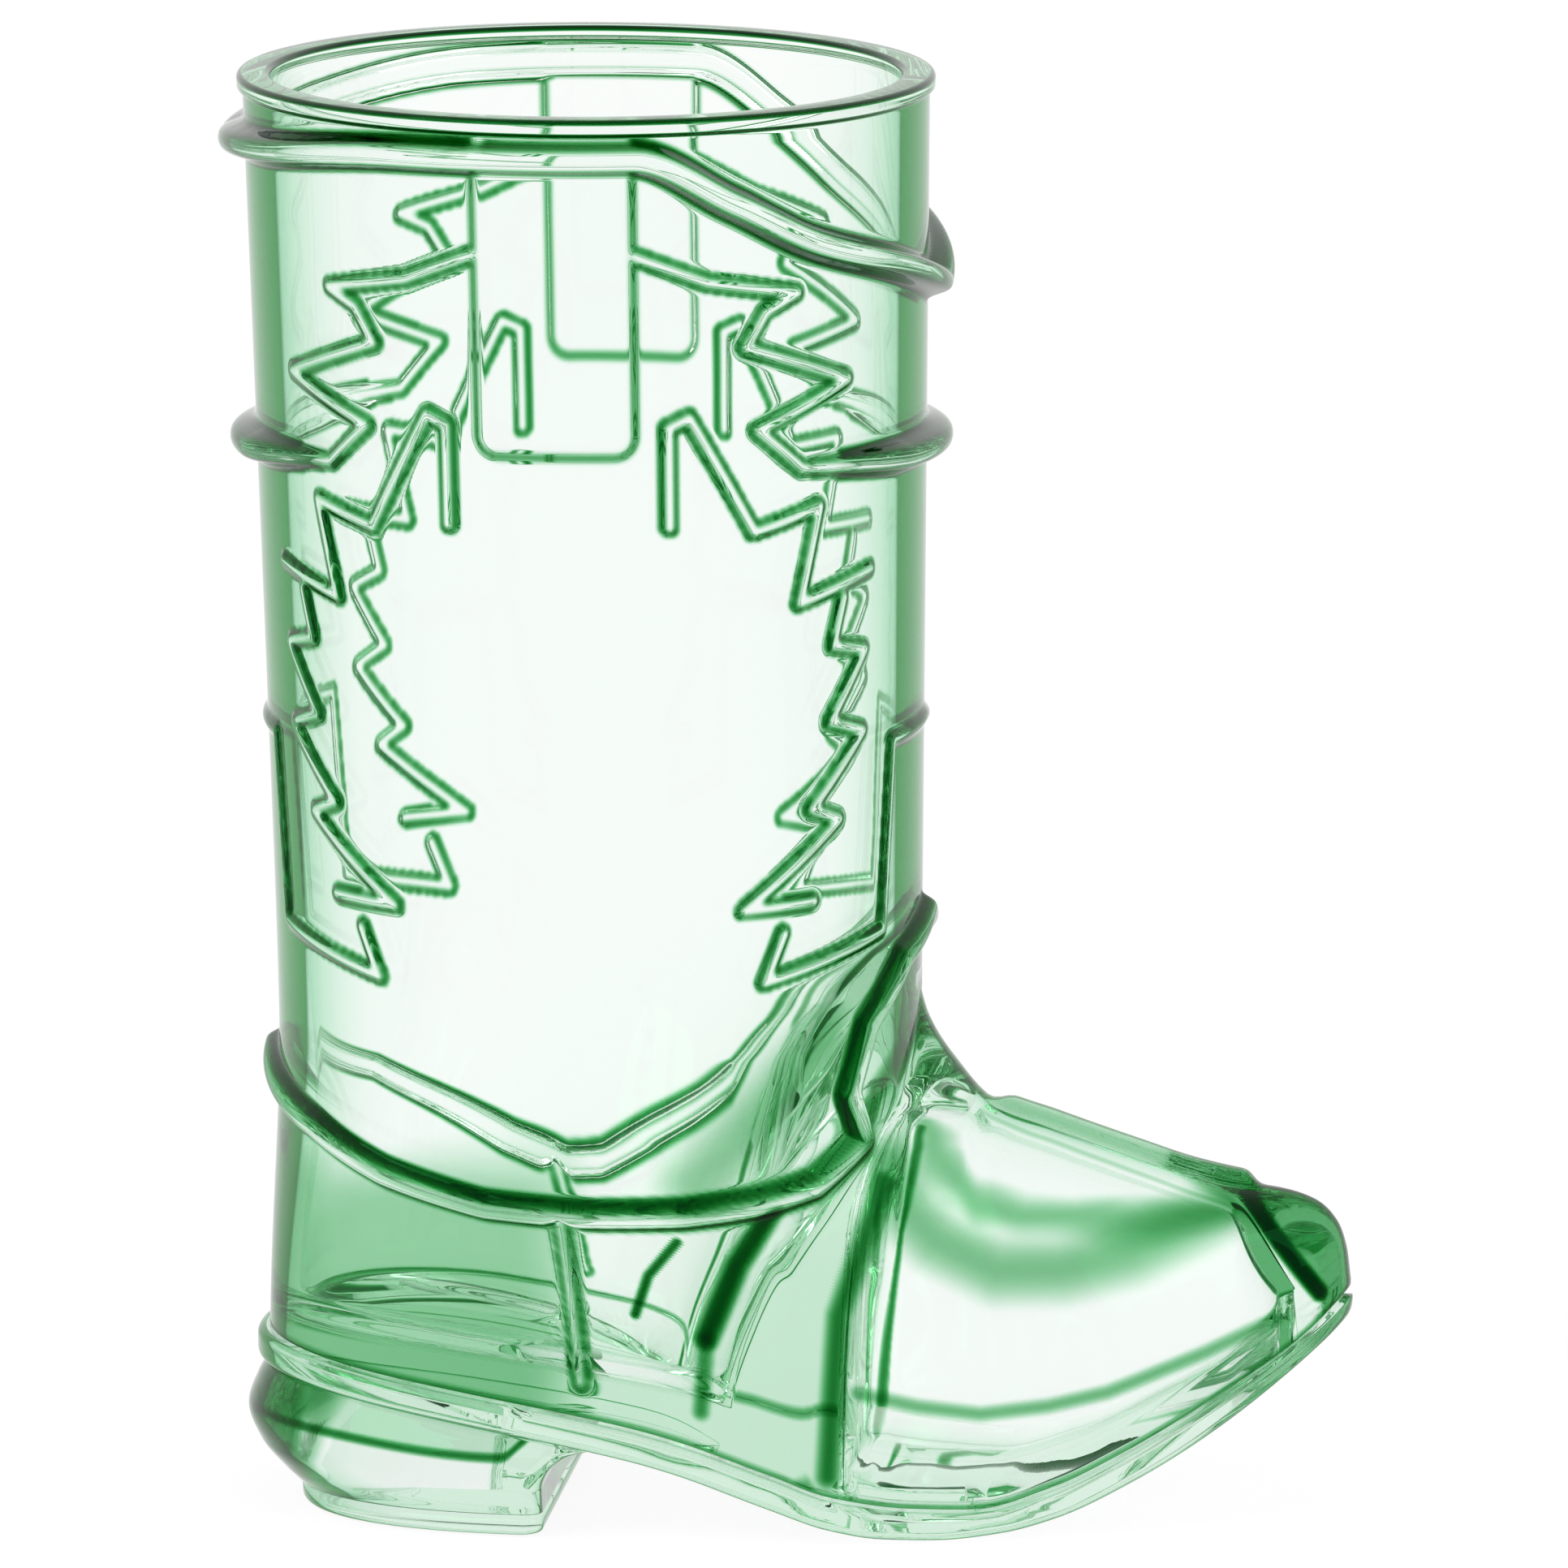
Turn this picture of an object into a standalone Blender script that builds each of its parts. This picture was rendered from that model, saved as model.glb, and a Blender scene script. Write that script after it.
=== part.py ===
"""A see-through green plastic drinking cup in the shape of a western boot.

Four moulded pieces that are cemented together: the boot body, which holds the drink in its leg and
has a hollow toe cored from below, the outsole under it, the heel block under the outsole's heel seat,
and the thin lift under the heel block.

Metres, +Z up. The toe points along +X. Shapes are worked out from the axis of the leg, where the
ground is Z = 0, and the finished cup is then set with the bottom centre of its box at the origin.
"""

import math

import bmesh
import bpy
import numpy as np

# Leg
CUP_HEIGHT = 0.1520
MOUTH_RADIUS = 0.0361
ANKLE_RADIUS = 0.0338
ANKLE_Z = 0.0520
LEG_LEAN = 0.0015
LIP_PROUD = 0.0006
LIP_HEIGHT = 0.0014
RIM_ROUND = 0.0006

# Foot
INSTEP_Z = 0.0570
HEEL_SEAT_Z = 0.0170
HEEL_HALF_WIDTH = 0.0238
HEEL_SQUARENESS = 2.4
COUNTER_SWELL = 0.0012
FOOT_CROWN = 2.3
TOE_NOSE_RADIUS = 0.0055
FOOT_BLEND = 0.0020
TOE_EDGE_BLEND = 0.0004

# Drink cavity, drawn straight up through the mouth
LEG_WALL = 0.0030
BACK_WALL = 0.0036
SIDE_WALL_AT_FLOOR = 0.0060
CAVITY_FLOOR_Z = 0.0194
CAVITY_SQUARENESS = 2.3

# Toe hollow, cored from below
TOE_WALL = 0.0032
HOLLOW_BACK_X = 0.0280
HOLLOW_BACK_Z = 0.0240
HOLLOW_BACK_SLOPE = 2.4
HOLLOW_CROWN = 3.0
HOLLOW_CORNER = 0.0030
HOLLOW_TOP_SHARE = 0.985

# Outsole
JOINT_GAP = 0.0003
WELT_LEDGE = 0.0013
SOLE_EDGE_ROUND = 0.0010
TOE_PLUG_HEIGHT = 0.0024
HEEL_PLUG_HEIGHT = 0.0024
SOLE_EDGE_HIGH_SHARE = 0.75
SOLE_EDGE_LOW_SHARE = 0.35
PLUG_ROOT_SHARE = 0.5

# Heel
HEEL_BREAST_X = -0.0024
HEEL_CORNER = 0.0022
HEEL_WALL = 0.0042
HEEL_POCKET_FLOOR = 0.0050
LIFT_THICKNESS = 0.0020
LIFT_EDGE_ROUND = 0.0007

# Raised ornament
STRAP_HALF_ANGLE = 13.4
STRAP_DROP = 0.0355
STRAP_PROUD = 0.0007
FLAME_BEAD = 0.0011
FLAME_BEAD_PROUD = 0.0003
STRONG_BEAD = 0.0016
STRONG_BEAD_PROUD = 0.0012
ANKLE_BEAD = 0.0015
ANKLE_BEAD_PROUD = 0.0006
LONGEST_MITRE = 2.5
VAMP_STRIP = 0.0014
STRIP_BACK_X = 0.0437
STRIP_FRONT_X = 0.0688
SEAM_BEAD = 0.0012

# Points on each loop round the cup, slices through the foot, and the longest step along a raised bead
LOOP_POINTS = 52
FOOT_SLICES = 17
FIRST_SLICE = 0.18
SLICE_CROWDING = 1.6
BEAD_SIDES = 6
BEAD_STEP = 0.0075

# Side profiles of the foot, as (distance ahead of the leg's axis, height above the ground)
WELT_LINE = [(-0.036, 0.0190), (-0.027, 0.0175), (-0.008, 0.0146), (0.007, 0.0117), (0.022, 0.0069),
             (0.028, 0.0048), (0.036, 0.0034), (0.043, 0.0031), (0.051, 0.0052), (0.058, 0.0084),
             (0.068, 0.0140), (0.076, 0.0193), (0.081, 0.0240)]
SOLE_LINE = [(-0.038, 0.0156), (-0.027, 0.0141), (-0.008, 0.0112), (0.007, 0.0082), (0.022, 0.0033),
             (0.028, 0.0013), (0.0345, 0.0), (0.0445, 0.0), (0.051, 0.0018), (0.0595, 0.0056),
             (0.068, 0.0106), (0.076, 0.0166), (0.082, 0.0222)]
VAMP_LINE = [(0.0, 0.105), (0.020, 0.083), (0.030, 0.067), (0.0349, 0.0563), (0.0362, 0.0520),
             (0.0392, 0.0472), (0.0431, 0.0430), (0.0496, 0.0406), (0.0582, 0.0377), (0.0642, 0.0358),
             (0.0693, 0.0346), (0.0753, 0.0332), (0.0784, 0.0307), (0.0794, 0.0275), (0.0798, 0.0245)]
WELT_HALF_WIDTH = [(-0.012, -0.010), (0.0, 0.0160), (0.010, 0.0214), (0.020, 0.0238), (0.031, 0.0246),
                   (0.040, 0.0235), (0.050, 0.0201), (0.060, 0.0150), (0.071, 0.0092), (0.080, 0.0044)]

# Side profile of the heel block, as (share of its height, distance out from the sole's edge, distance of its
# front ahead of the heel's breast, distance that its back is tucked in)
HEEL_PROFILE = [(1.0, -SOLE_EDGE_ROUND, 0.0050, 0.0), (0.85, 0.0, 0.0025, 0.0), (0.6, 0.0010, 0.0006, 0.0),
                (0.35, 0.0006, 0.0, 0.0008), (0.15, 0.0, 0.0, 0.0024), (0.0, -0.0008, 0.0, 0.0036)]

# Front wall of the drink cavity, as (height above its floor, distance ahead of the leg's axis)
CAVITY_FRONT = [(0.0, 0.0140), (0.0046, 0.0162), (0.0166, 0.0218), (0.0306, 0.0278), (0.0446, 0.0321)]

# Ornament on a quarter of the leg, as (degrees from the middle of the side, drop below the rim)
COLLAR_LINE = [(-90, 0.0071), (-60, 0.0060), (-25, 0.0042), (13, 0.0040), (30, 0.0091), (46, 0.0141),
               (67, 0.0178), (90, 0.0217)]
BROW = [(12, 0.0140), (26, 0.0174), (43, 0.0192), (36.7, 0.0209), (32.8, 0.0245), (54.6, 0.0290),
        (35, 0.0333), (44, 0.0378), (70, 0.0384), (90, 0.0384)]
FLAME_TOP = [(19, 0.0430), (19, 0.0325), (22.5, 0.0315), (34.3, 0.0440), (47.8, 0.0420), (43.4, 0.0520),
             (61, 0.0496)]
FLAME_MIDDLE = [(53.6, 0.0520), (51, 0.0570), (59.4, 0.0580), (50.3, 0.0650), (59, 0.0666), (46, 0.0740),
                (52.6, 0.0755), (32, 0.0840), (46.5, 0.0838)]
FLAME_FOOT = [(40, 0.0868), (36, 0.0918), (65.6, 0.0884), (68.8, 0.0686), (90, 0.0680)]

# Bead round the ankle on the two sides, as (degrees from the middle of the side, height above the ground)
NEAR_ANKLE_LINE = [(-53.5, 0.0425), (-35.1, 0.0390), (-14.6, 0.0363), (3.5, 0.0355), (20.9, 0.0355),
                   (34.2, 0.0362), (47.8, 0.0377), (59.9, 0.0417), (55.2, 0.0471), (60.1, 0.0538),
                   (72.6, 0.0599)]
FAR_ANKLE_LINE = [(-56.3, 0.0437), (-32.5, 0.0373), (-13.0, 0.0305), (11.8, 0.0363), (26.2, 0.0403),
                  (36.7, 0.0429), (49.1, 0.0477), (60.1, 0.0538), (72.6, 0.0599)]
ANKLE_BACK_Z = 0.0478
ANKLE_FRONT_Z = 0.0634

# Seam down each side of the foot, as (distance ahead of the leg's axis, height above the ground)
NEAR_SEAM = [(0.0002, 0.0352), (0.0018, 0.0165)]
FAR_SEAM = [(-0.0069, 0.0300), (-0.0020, 0.0170)]


def curve_through(points):
    """A smooth height through points of rising distance, which never overshoots between two of them."""
    x, y = np.array(points, float).T
    step = np.diff(x)
    rise = np.diff(y) / step
    slope = np.zeros_like(y)
    flat = rise[:-1] * rise[1:] <= 0
    ahead = 2 * step[1:] + step[:-1]
    behind = step[1:] + 2 * step[:-1]
    with np.errstate(divide="ignore", invalid="ignore"):
        mean = (ahead + behind) / (ahead / rise[:-1] + behind / rise[1:])
    slope[1:-1] = np.where(flat, 0.0, mean)
    slope[0] = rise[0]
    slope[-1] = rise[-1]

    def at(value):
        value = np.clip(value, x[0], x[-1])
        k = np.clip(np.searchsorted(x, value) - 1, 0, len(step) - 1)
        t = (value - x[k]) / step[k]
        start = (1 + 2 * t) * (1 - t) ** 2 * y[k] + t * (1 - t) ** 2 * step[k] * slope[k]
        end = t ** 2 * (3 - 2 * t) * y[k + 1] + t ** 2 * (t - 1) * step[k] * slope[k + 1]
        return start + end

    return at


welt_z = curve_through(WELT_LINE)
sole_z = curve_through(SOLE_LINE)
vamp_z = curve_through(VAMP_LINE)
welt_half_width = curve_through(WELT_HALF_WIDTH)
cavity_front_x = curve_through(CAVITY_FRONT)
collar_drop = curve_through(COLLAR_LINE)


def smooth_step(t):
    t = np.clip(t, 0.0, 1.0)
    return t * t * (3 - 2 * t)


def smooth_max(a, b, blend):
    return (a + b + np.sqrt((a - b) ** 2 + blend ** 2)) / 2


def leg_radius(z):
    return np.interp(z, [ANKLE_Z, CUP_HEIGHT], [ANKLE_RADIUS, MOUTH_RADIUS])


def below_ankle(z):
    """0 at the ankle and above it, 1 at the heel seat."""
    return smooth_step((ANKLE_Z - z) / (ANKLE_Z - HEEL_SEAT_Z))


def leg_centre_x(z):
    lean = LEG_LEAN * np.clip((CUP_HEIGHT - z) / (CUP_HEIGHT - ANKLE_Z), 0.0, 1.0)
    return lean - COUNTER_SWELL * below_ankle(z)


def leg_half_width(z):
    """Half the leg's width, which draws in from the ankle to the heel seat."""
    return leg_radius(z) + (HEEL_HALF_WIDTH - ANKLE_RADIUS) * below_ankle(z)


def foot_z(x, level):
    """Height of a foot slice, which follows the welt at level 0 and is flat at the instep at level 1."""
    return welt_z(x) + level * (INSTEP_Z - welt_z(x))


def foot_level(x, z):
    return (z - welt_z(x)) / (INSTEP_Z - welt_z(x))


def foot_front_x(level):
    """How far ahead a foot slice reaches, on the centre line of the vamp or on the front of the leg."""
    x = np.linspace(VAMP_LINE[0][0], VAMP_LINE[-1][0], 2000)
    on_vamp = np.interp(-level, -foot_level(x, vamp_z(x)), x)
    return max(on_vamp, leg_centre_x(INSTEP_Z) + ANKLE_RADIUS)


def leg_back_x(level):
    """Where a foot slice meets the back of the counter."""
    z = foot_z(leg_centre_x(ANKLE_Z) - ANKLE_RADIUS, level)
    return leg_centre_x(z) - leg_radius(z)


def leg_side_y(x, z):
    """Half-width of the leg at x, negative ahead of it and behind it."""
    across = np.abs(x - leg_centre_x(z)) / leg_radius(z)
    power = 2 + (HEEL_SQUARENESS - 2) * below_ankle(z)
    inside = np.clip(1 - across ** power, 0.0, None) ** (1 / power)
    return leg_half_width(z) * (inside - 2 * np.clip(across - 1, 0.0, None))


def foot_side_y(x, level):
    """Half-width of the foot at x: an arched vamp, cut by the rounded snip of the toe."""
    top = foot_level(x, vamp_z(x))
    arch = 1 - np.clip(level / np.maximum(top, 0.001), 0.0, 1.0) ** FOOT_CROWN
    side = welt_half_width(x) * np.sqrt(arch)
    snip = np.sqrt(2 * TOE_NOSE_RADIUS * np.clip(foot_front_x(level) - x, 0.0, None))
    return -smooth_max(-side, -snip, TOE_EDGE_BLEND)


def body_side_y(x, level):
    """Half-width of the body's outside at x on one slice."""
    z = foot_z(x, level)
    return np.clip(smooth_max(leg_side_y(x, z), foot_side_y(x, level), FOOT_BLEND), 0.0, None)


def stations(back_x, front_x):
    """Distances along one side, close together at the two ends, where an outline turns."""
    turn = np.linspace(0.0, math.pi, LOOP_POINTS // 2 + 1)
    return (back_x + front_x) / 2 - (front_x - back_x) / 2 * np.cos(turn)


def mirrored(x, y, z):
    """A closed loop from the back, along the near side to the front and back along the far side."""
    y = np.array(y, float)
    y[[0, -1]] = 0.0
    near = np.column_stack([x, -y, z])
    far = np.column_stack([x, y, z])[-2:0:-1]
    return np.vstack([near, far])


def leg_loop(z, outward):
    """A circle round the leg, its radius changed by outward."""
    centre = leg_centre_x(z)
    radius = leg_radius(z) + outward
    x = stations(centre - radius, centre + radius)
    return mirrored(x, np.sqrt(np.clip(radius ** 2 - (x - centre) ** 2, 0.0, None)), np.full_like(x, z))


def foot_loop(level):
    """The body's outline on one slice of the foot."""
    back = leg_back_x(level)
    x = stations(back, foot_front_x(level))
    return mirrored(x, body_side_y(x, level), foot_z(x, level))


def cavity_loop(z):
    """The drink cavity's outline, which runs from the leg's circle to a shorter, narrower floor."""
    centre = leg_centre_x(z)
    height = z - CAVITY_FLOOR_Z
    round_part = smooth_step(height / CAVITY_FRONT[-1][0])
    inner = leg_radius(z) - LEG_WALL
    back = centre - leg_radius(z) + BACK_WALL + (LEG_WALL - BACK_WALL) * round_part
    front = centre + inner if round_part >= 1 else min(cavity_front_x(height), centre + inner)
    side_wall = SIDE_WALL_AT_FLOOR + (LEG_WALL - SIDE_WALL_AT_FLOOR) * round_part
    half_width = leg_half_width(z) - side_wall
    power = CAVITY_SQUARENESS + (2 - CAVITY_SQUARENESS) * round_part
    x = stations(back, front)
    along = np.abs(2 * (x - back) / (front - back) - 1)
    return mirrored(x, half_width * np.clip(1 - along ** power, 0.0, None) ** (1 / power), np.full_like(x, z))


def offset_loop(loop, outward):
    """A loop moved outward in plan, square to itself; its heights stay."""
    ahead = np.roll(loop, -1, axis=0) - np.roll(loop, 1, axis=0)
    normal = np.column_stack([ahead[:, 1], -ahead[:, 0]])
    normal /= np.linalg.norm(normal, axis=1)[:, None]
    moved = loop.copy()
    moved[:, :2] += outward * normal
    return moved


def at_height(loop, height):
    """A loop laid on a height: a number, one for each point, or a line that follows the distance ahead."""
    laid = loop.copy()
    laid[:, 2] = height(loop[:, 0]) if callable(height) else height
    return laid


def outline_half_width(loop, x):
    """Half-width of a mirrored loop at the distances x."""
    near = loop[:LOOP_POINTS // 2 + 1]
    return np.interp(x, near[:, 0], -near[:, 1])


def lofted(name, loops):
    """A closed solid through loops of equal length, with both ends closed straight across in Y."""
    mesh = bmesh.new()
    rings = [[mesh.verts.new(point) for point in loop] for loop in loops]
    count = len(rings[0])
    for low, high in zip(rings, rings[1:]):
        for k in range(count):
            n = (k + 1) % count
            mesh.faces.new((low[k], low[n], high[n], high[k]))
    for ring in (rings[0], rings[-1]):
        half = count // 2
        mesh.faces.new((ring[0], ring[1], ring[-1]))
        mesh.faces.new((ring[half - 1], ring[half], ring[half + 1]))
        for k in range(1, half - 1):
            mesh.faces.new((ring[k], ring[k + 1], ring[count - k - 1], ring[count - k]))
    return finished(name, mesh)


def finished(name, mesh):
    """An object of a closed mesh, with its faces turned outward."""
    bmesh.ops.recalc_face_normals(mesh, faces=mesh.faces)
    data = bpy.data.meshes.new(name)
    mesh.to_mesh(data)
    mesh.free()
    item = bpy.data.objects.new(name, data)
    bpy.context.scene.collection.objects.link(item)
    return item


def combine(target, tool, operation, crossing=False):
    """Joins a tool to an object, or cuts it out, and keeps the tool as a hidden guide that goes with it.

    A tool whose own pieces may cross each other is marked as crossing.
    """
    tool.hide_render = True
    tool.display_type = "WIRE"
    tool.parent = target
    change = target.modifiers.new(tool.name, "BOOLEAN")
    change.operation = operation
    change.solver = "EXACT"
    change.object = tool
    change.use_self = crossing


def on_leg(degrees, drop, outward):
    """A point on the leg's near side, by its turn towards the front and its drop below the rim."""
    z = CUP_HEIGHT - drop
    turn = np.radians(degrees)
    radius = leg_radius(z) + outward
    return np.array([leg_centre_x(z) + radius * np.sin(turn), -radius * np.cos(turn), z])


def on_foot(x, z, outward):
    """A point on the near side of the foot or the ankle, moved outward square to the plan."""
    level = foot_level(x, z)
    step = 0.0005
    y = [float(body_side_y(np.array([x + d]), level)[0]) if level < 1 else leg_side_y(x + d, z)
         for d in (-step, 0.0, step)]
    normal = np.array([-(y[2] - y[0]), -2 * step])
    normal /= np.linalg.norm(normal)
    return np.array([x + outward * normal[0], -y[1] + outward * normal[1], z])


def stepped(points, unit_lengths):
    """Corner points with more points between them, so that no step is longer than a bead's own."""
    points = np.array(points, float)
    out = [points[0]]
    for a, b in zip(points, points[1:]):
        count = max(1, math.ceil(np.linalg.norm((b - a) * unit_lengths) / BEAD_STEP))
        out += [a + (b - a) * k / count for k in range(1, count + 1)]
    return out


def stepped_on_leg(points):
    return stepped(points, (math.radians(1) * MOUTH_RADIUS, 1.0))


def foot_path(points, outward):
    return [on_foot(x, z, outward) for x, z in stepped(points, (1.0, 1.0))]


def ankle_path(line):
    """Points of the ankle bead on the near side, from its turns round the leg."""
    points = [(leg_centre_x(z) + leg_radius(z) * math.sin(math.radians(a)), z) for a, z in line]
    return foot_path(points, ANKLE_BEAD_PROUD)


def bead(mesh, path, radii, closed=False):
    """A round bead along points in space, mitred at its corners, added to a mesh; its ends are closed."""
    path = np.array(path)
    radii = np.broadcast_to(radii, len(path))
    rings = []
    for k, point in enumerate(path):
        back = point - path[k - 1] if closed or k else path[1] - point
        ahead = path[(k + 1) % len(path)] - point if closed or k + 1 < len(path) else back
        back = back / np.linalg.norm(back)
        ahead = ahead / np.linalg.norm(ahead)
        along = (back + ahead) / np.linalg.norm(back + ahead)
        mitre = min(1 / math.sqrt((1 + back @ ahead) / 2), LONGEST_MITRE)
        out = np.array([point[0], point[1], 0.0])
        out -= along * (out @ along)
        out /= np.linalg.norm(out)
        side = mitre * np.cross(along, out)
        turns = [2 * math.pi * (i + 0.5) / BEAD_SIDES for i in range(BEAD_SIDES)]
        rim = [point + radii[k] * (math.cos(a) * out + math.sin(a) * side) for a in turns]
        rings.append([mesh.verts.new(corner) for corner in rim])
    pairs = list(zip(rings, rings[1:])) + ([(rings[-1], rings[0])] if closed else [])
    for low, high in pairs:
        for i in range(BEAD_SIDES):
            j = (i + 1) % BEAD_SIDES
            mesh.faces.new((low[i], low[j], high[j], high[i]))
    if not closed:
        mesh.faces.new(rings[0])
        mesh.faces.new(rings[-1])


def flipped(path):
    """A path on the far side of the cup."""
    return [point * np.array([1, -1, 1]) for point in path]


def round_to_far_side(path):
    """A path that ends on the centre line, carried on along its mirror image."""
    return list(path) + flipped(path)[-2::-1]


def flame_beads(mesh):
    """The flame ornament on the four quarters of the leg, with its brow that runs into a strong ring."""
    for way in (1, -1):
        brow = stepped_on_leg(BROW)
        strong = [smooth_step((a - BROW[-3][0]) / (BROW[-2][0] - BROW[-3][0])) for a, d in brow]
        radii = [FLAME_BEAD + (STRONG_BEAD - FLAME_BEAD) * t for t in strong]
        proud = [FLAME_BEAD_PROUD + (STRONG_BEAD_PROUD - FLAME_BEAD_PROUD) * t for t in strong]
        path = [on_leg(way * a, d, out) for (a, d), out in zip(brow, proud)]
        bead(mesh, round_to_far_side(path), radii + radii[-2::-1])
        path = [on_leg(way * a, d, FLAME_BEAD_PROUD) for a, d in stepped_on_leg(FLAME_FOOT)]
        bead(mesh, round_to_far_side(path), FLAME_BEAD)
        for line in (FLAME_TOP, FLAME_MIDDLE):
            path = [on_leg(way * a, d, FLAME_BEAD_PROUD) for a, d in stepped_on_leg(line)]
            bead(mesh, path, FLAME_BEAD)
            bead(mesh, flipped(path), FLAME_BEAD)


def strong_beads(mesh):
    """The collar bead under the rim and the ankle bead round the top of the foot."""
    turns = np.linspace(-90, 90, 25)
    collar = [on_leg(a, collar_drop(a), STRONG_BEAD_PROUD) for a in turns]
    bead(mesh, collar + flipped(collar)[-2:0:-1], STRONG_BEAD, closed=True)
    near = ankle_path(NEAR_ANKLE_LINE)
    far = flipped(ankle_path(FAR_ANKLE_LINE))
    back = on_leg(-90, CUP_HEIGHT - ANKLE_BACK_Z, ANKLE_BEAD_PROUD)
    front = on_leg(90, CUP_HEIGHT - ANKLE_FRONT_Z, ANKLE_BEAD_PROUD)
    bead(mesh, [back] + near + [front] + far[::-1], ANKLE_BEAD, closed=True)


def side_seams(mesh):
    """The bead down each side of the foot, from the ankle bead to the welt."""
    bead(mesh, foot_path(NEAR_SEAM, FLAME_BEAD_PROUD), SEAM_BEAD)
    bead(mesh, flipped(foot_path(FAR_SEAM, FLAME_BEAD_PROUD)), SEAM_BEAD)


def ornament():
    """The raised beads of the body in one guide."""
    mesh = bmesh.new()
    flame_beads(mesh)
    strong_beads(mesh)
    side_seams(mesh)
    return finished("ornament_guide", mesh)


def strap(side):
    """The raised pull strap on one side of the leg, as a curved plate let into the wall."""
    loops = []
    tops = np.radians(np.linspace(-STRAP_HALF_ANGLE, STRAP_HALF_ANGLE, 9))
    for z in np.linspace(CUP_HEIGHT - STRAP_DROP, CUP_HEIGHT - collar_drop(0.0), 4):
        outer = leg_radius(z) + STRAP_PROUD
        inner = leg_radius(z) - LEG_WALL / 2
        arc = [(outer, a) for a in tops] + [(inner, a) for a in tops[::-1]]
        loops.append([(leg_centre_x(z) + r * math.sin(a), side * r * math.cos(a), z) for r, a in arc])
    mesh = bmesh.new()
    rings = [[mesh.verts.new(point) for point in loop] for loop in loops]
    for low, high in zip(rings, rings[1:]):
        for k in range(len(low)):
            n = (k + 1) % len(low)
            mesh.faces.new((low[k], low[n], high[n], high[k]))
    for ring in (rings[0], rings[-1]):
        for k in range(len(tops) - 1):
            mesh.faces.new((ring[k], ring[k + 1], ring[-k - 2], ring[-k - 1]))
    return finished("strap_guide", mesh)


def vamp_strip():
    """The raised strip along the top of the vamp."""
    x = np.linspace(STRIP_BACK_X, STRIP_FRONT_X, 9)
    mesh = bmesh.new()
    path = np.column_stack([x, np.zeros_like(x), vamp_z(x)])
    across = np.array([0.0, 1.0, 0.0])
    rings = []
    for point in path:
        corners = [(-1, -1), (1, -1), (1, 1), (-1, 1)]
        rings.append([mesh.verts.new(point + VAMP_STRIP * (a * across + b * np.array([0, 0, 1])))
                      for a, b in corners])
    for low, high in zip(rings, rings[1:]):
        for i in range(4):
            mesh.faces.new((low[i], low[(i + 1) % 4], high[(i + 1) % 4], high[i]))
    mesh.faces.new(rings[0])
    mesh.faces.new(rings[-1])
    return finished("vamp_strip_guide", mesh)


def hollow_roof_z(x):
    """The hollow's roof: a wall's thickness under the vamp, sloping down behind to the partition."""
    behind = HOLLOW_BACK_Z + HOLLOW_BACK_SLOPE * (x - HOLLOW_BACK_X)
    return -smooth_max(-behind, -(vamp_z(x) - TOE_WALL), TOE_WALL)


def hollow_loop(height_share, clearance=0.0):
    """Outline of the toe hollow at a share of its height, drawn in by a clearance."""
    wall = TOE_WALL + clearance
    back = HOLLOW_BACK_X + clearance
    front = foot_front_x(0.0) - wall - TOE_WALL / 2
    x = stations(back, front)
    side = np.clip(body_side_y(x, 0.0) - wall, 0.0, None)
    corner = np.sqrt(np.clip(1 - np.clip(1 - (x - back) / HOLLOW_CORNER, 0.0, 1.0) ** 2, 0.0, None))
    side *= np.sqrt(1 - height_share ** HOLLOW_CROWN)
    z = welt_z(x) + height_share * np.clip(hollow_roof_z(x) - welt_z(x), 0.0, None)
    return mirrored(x, side - HOLLOW_CORNER * (1 - corner), z)


def toe_hollow():
    """The core that leaves the toe hollow, open through the underside."""
    loops = [hollow_loop(share) for share in np.linspace(0.0, HOLLOW_TOP_SHARE, 8)]
    below = loops[0] - np.array([0.0, 0.0, TOE_WALL])
    return lofted("toe_hollow_guide", [below] + loops)


def foot_levels():
    """Levels of the foot's slices, from the instep down to the welt, closest together at the instep."""
    return 1 - np.linspace(FIRST_SLICE, 1.0, FOOT_SLICES) ** SLICE_CROWDING


def boot_body():
    """The leg, foot and toe in one moulding."""
    heights = np.linspace(0.0, CAVITY_FRONT[-1][0], 8)
    loops = [cavity_loop(CAVITY_FLOOR_Z + height) for height in heights]
    loops.append(leg_loop(CUP_HEIGHT - RIM_ROUND, -LEG_WALL))
    loops.append(leg_loop(CUP_HEIGHT, -LEG_WALL + RIM_ROUND))
    loops.append(leg_loop(CUP_HEIGHT, LIP_PROUD - RIM_ROUND))
    loops.append(leg_loop(CUP_HEIGHT - RIM_ROUND, LIP_PROUD))
    loops.append(leg_loop(CUP_HEIGHT - LIP_HEIGHT, LIP_PROUD))
    loops.append(leg_loop(CUP_HEIGHT - LIP_HEIGHT - RIM_ROUND, 0.0))
    loops += [leg_loop(z, 0.0) for z in np.linspace(CUP_HEIGHT - STRAP_DROP, INSTEP_Z, 4)]
    loops += [foot_loop(level) for level in foot_levels()]
    body = lofted("boot_body", loops)
    combine(body, toe_hollow(), "DIFFERENCE")
    combine(body, ornament(), "UNION", crossing=True)
    combine(body, vamp_strip(), "UNION")
    for side in (-1, 1):
        combine(body, strap(side), "UNION")
    return body


def sole_outline(outward):
    """The outsole's edge in plan: the body's outline at the welt, with a ledge all round."""
    return offset_loop(foot_loop(0.0), WELT_LEDGE + outward)


def sole_top(x):
    return welt_z(x) - JOINT_GAP


def sole_inside(x, share):
    """A height inside the sole, at a share of its thickness."""
    return sole_z(x) + share * (sole_top(x) - sole_z(x))


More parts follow.
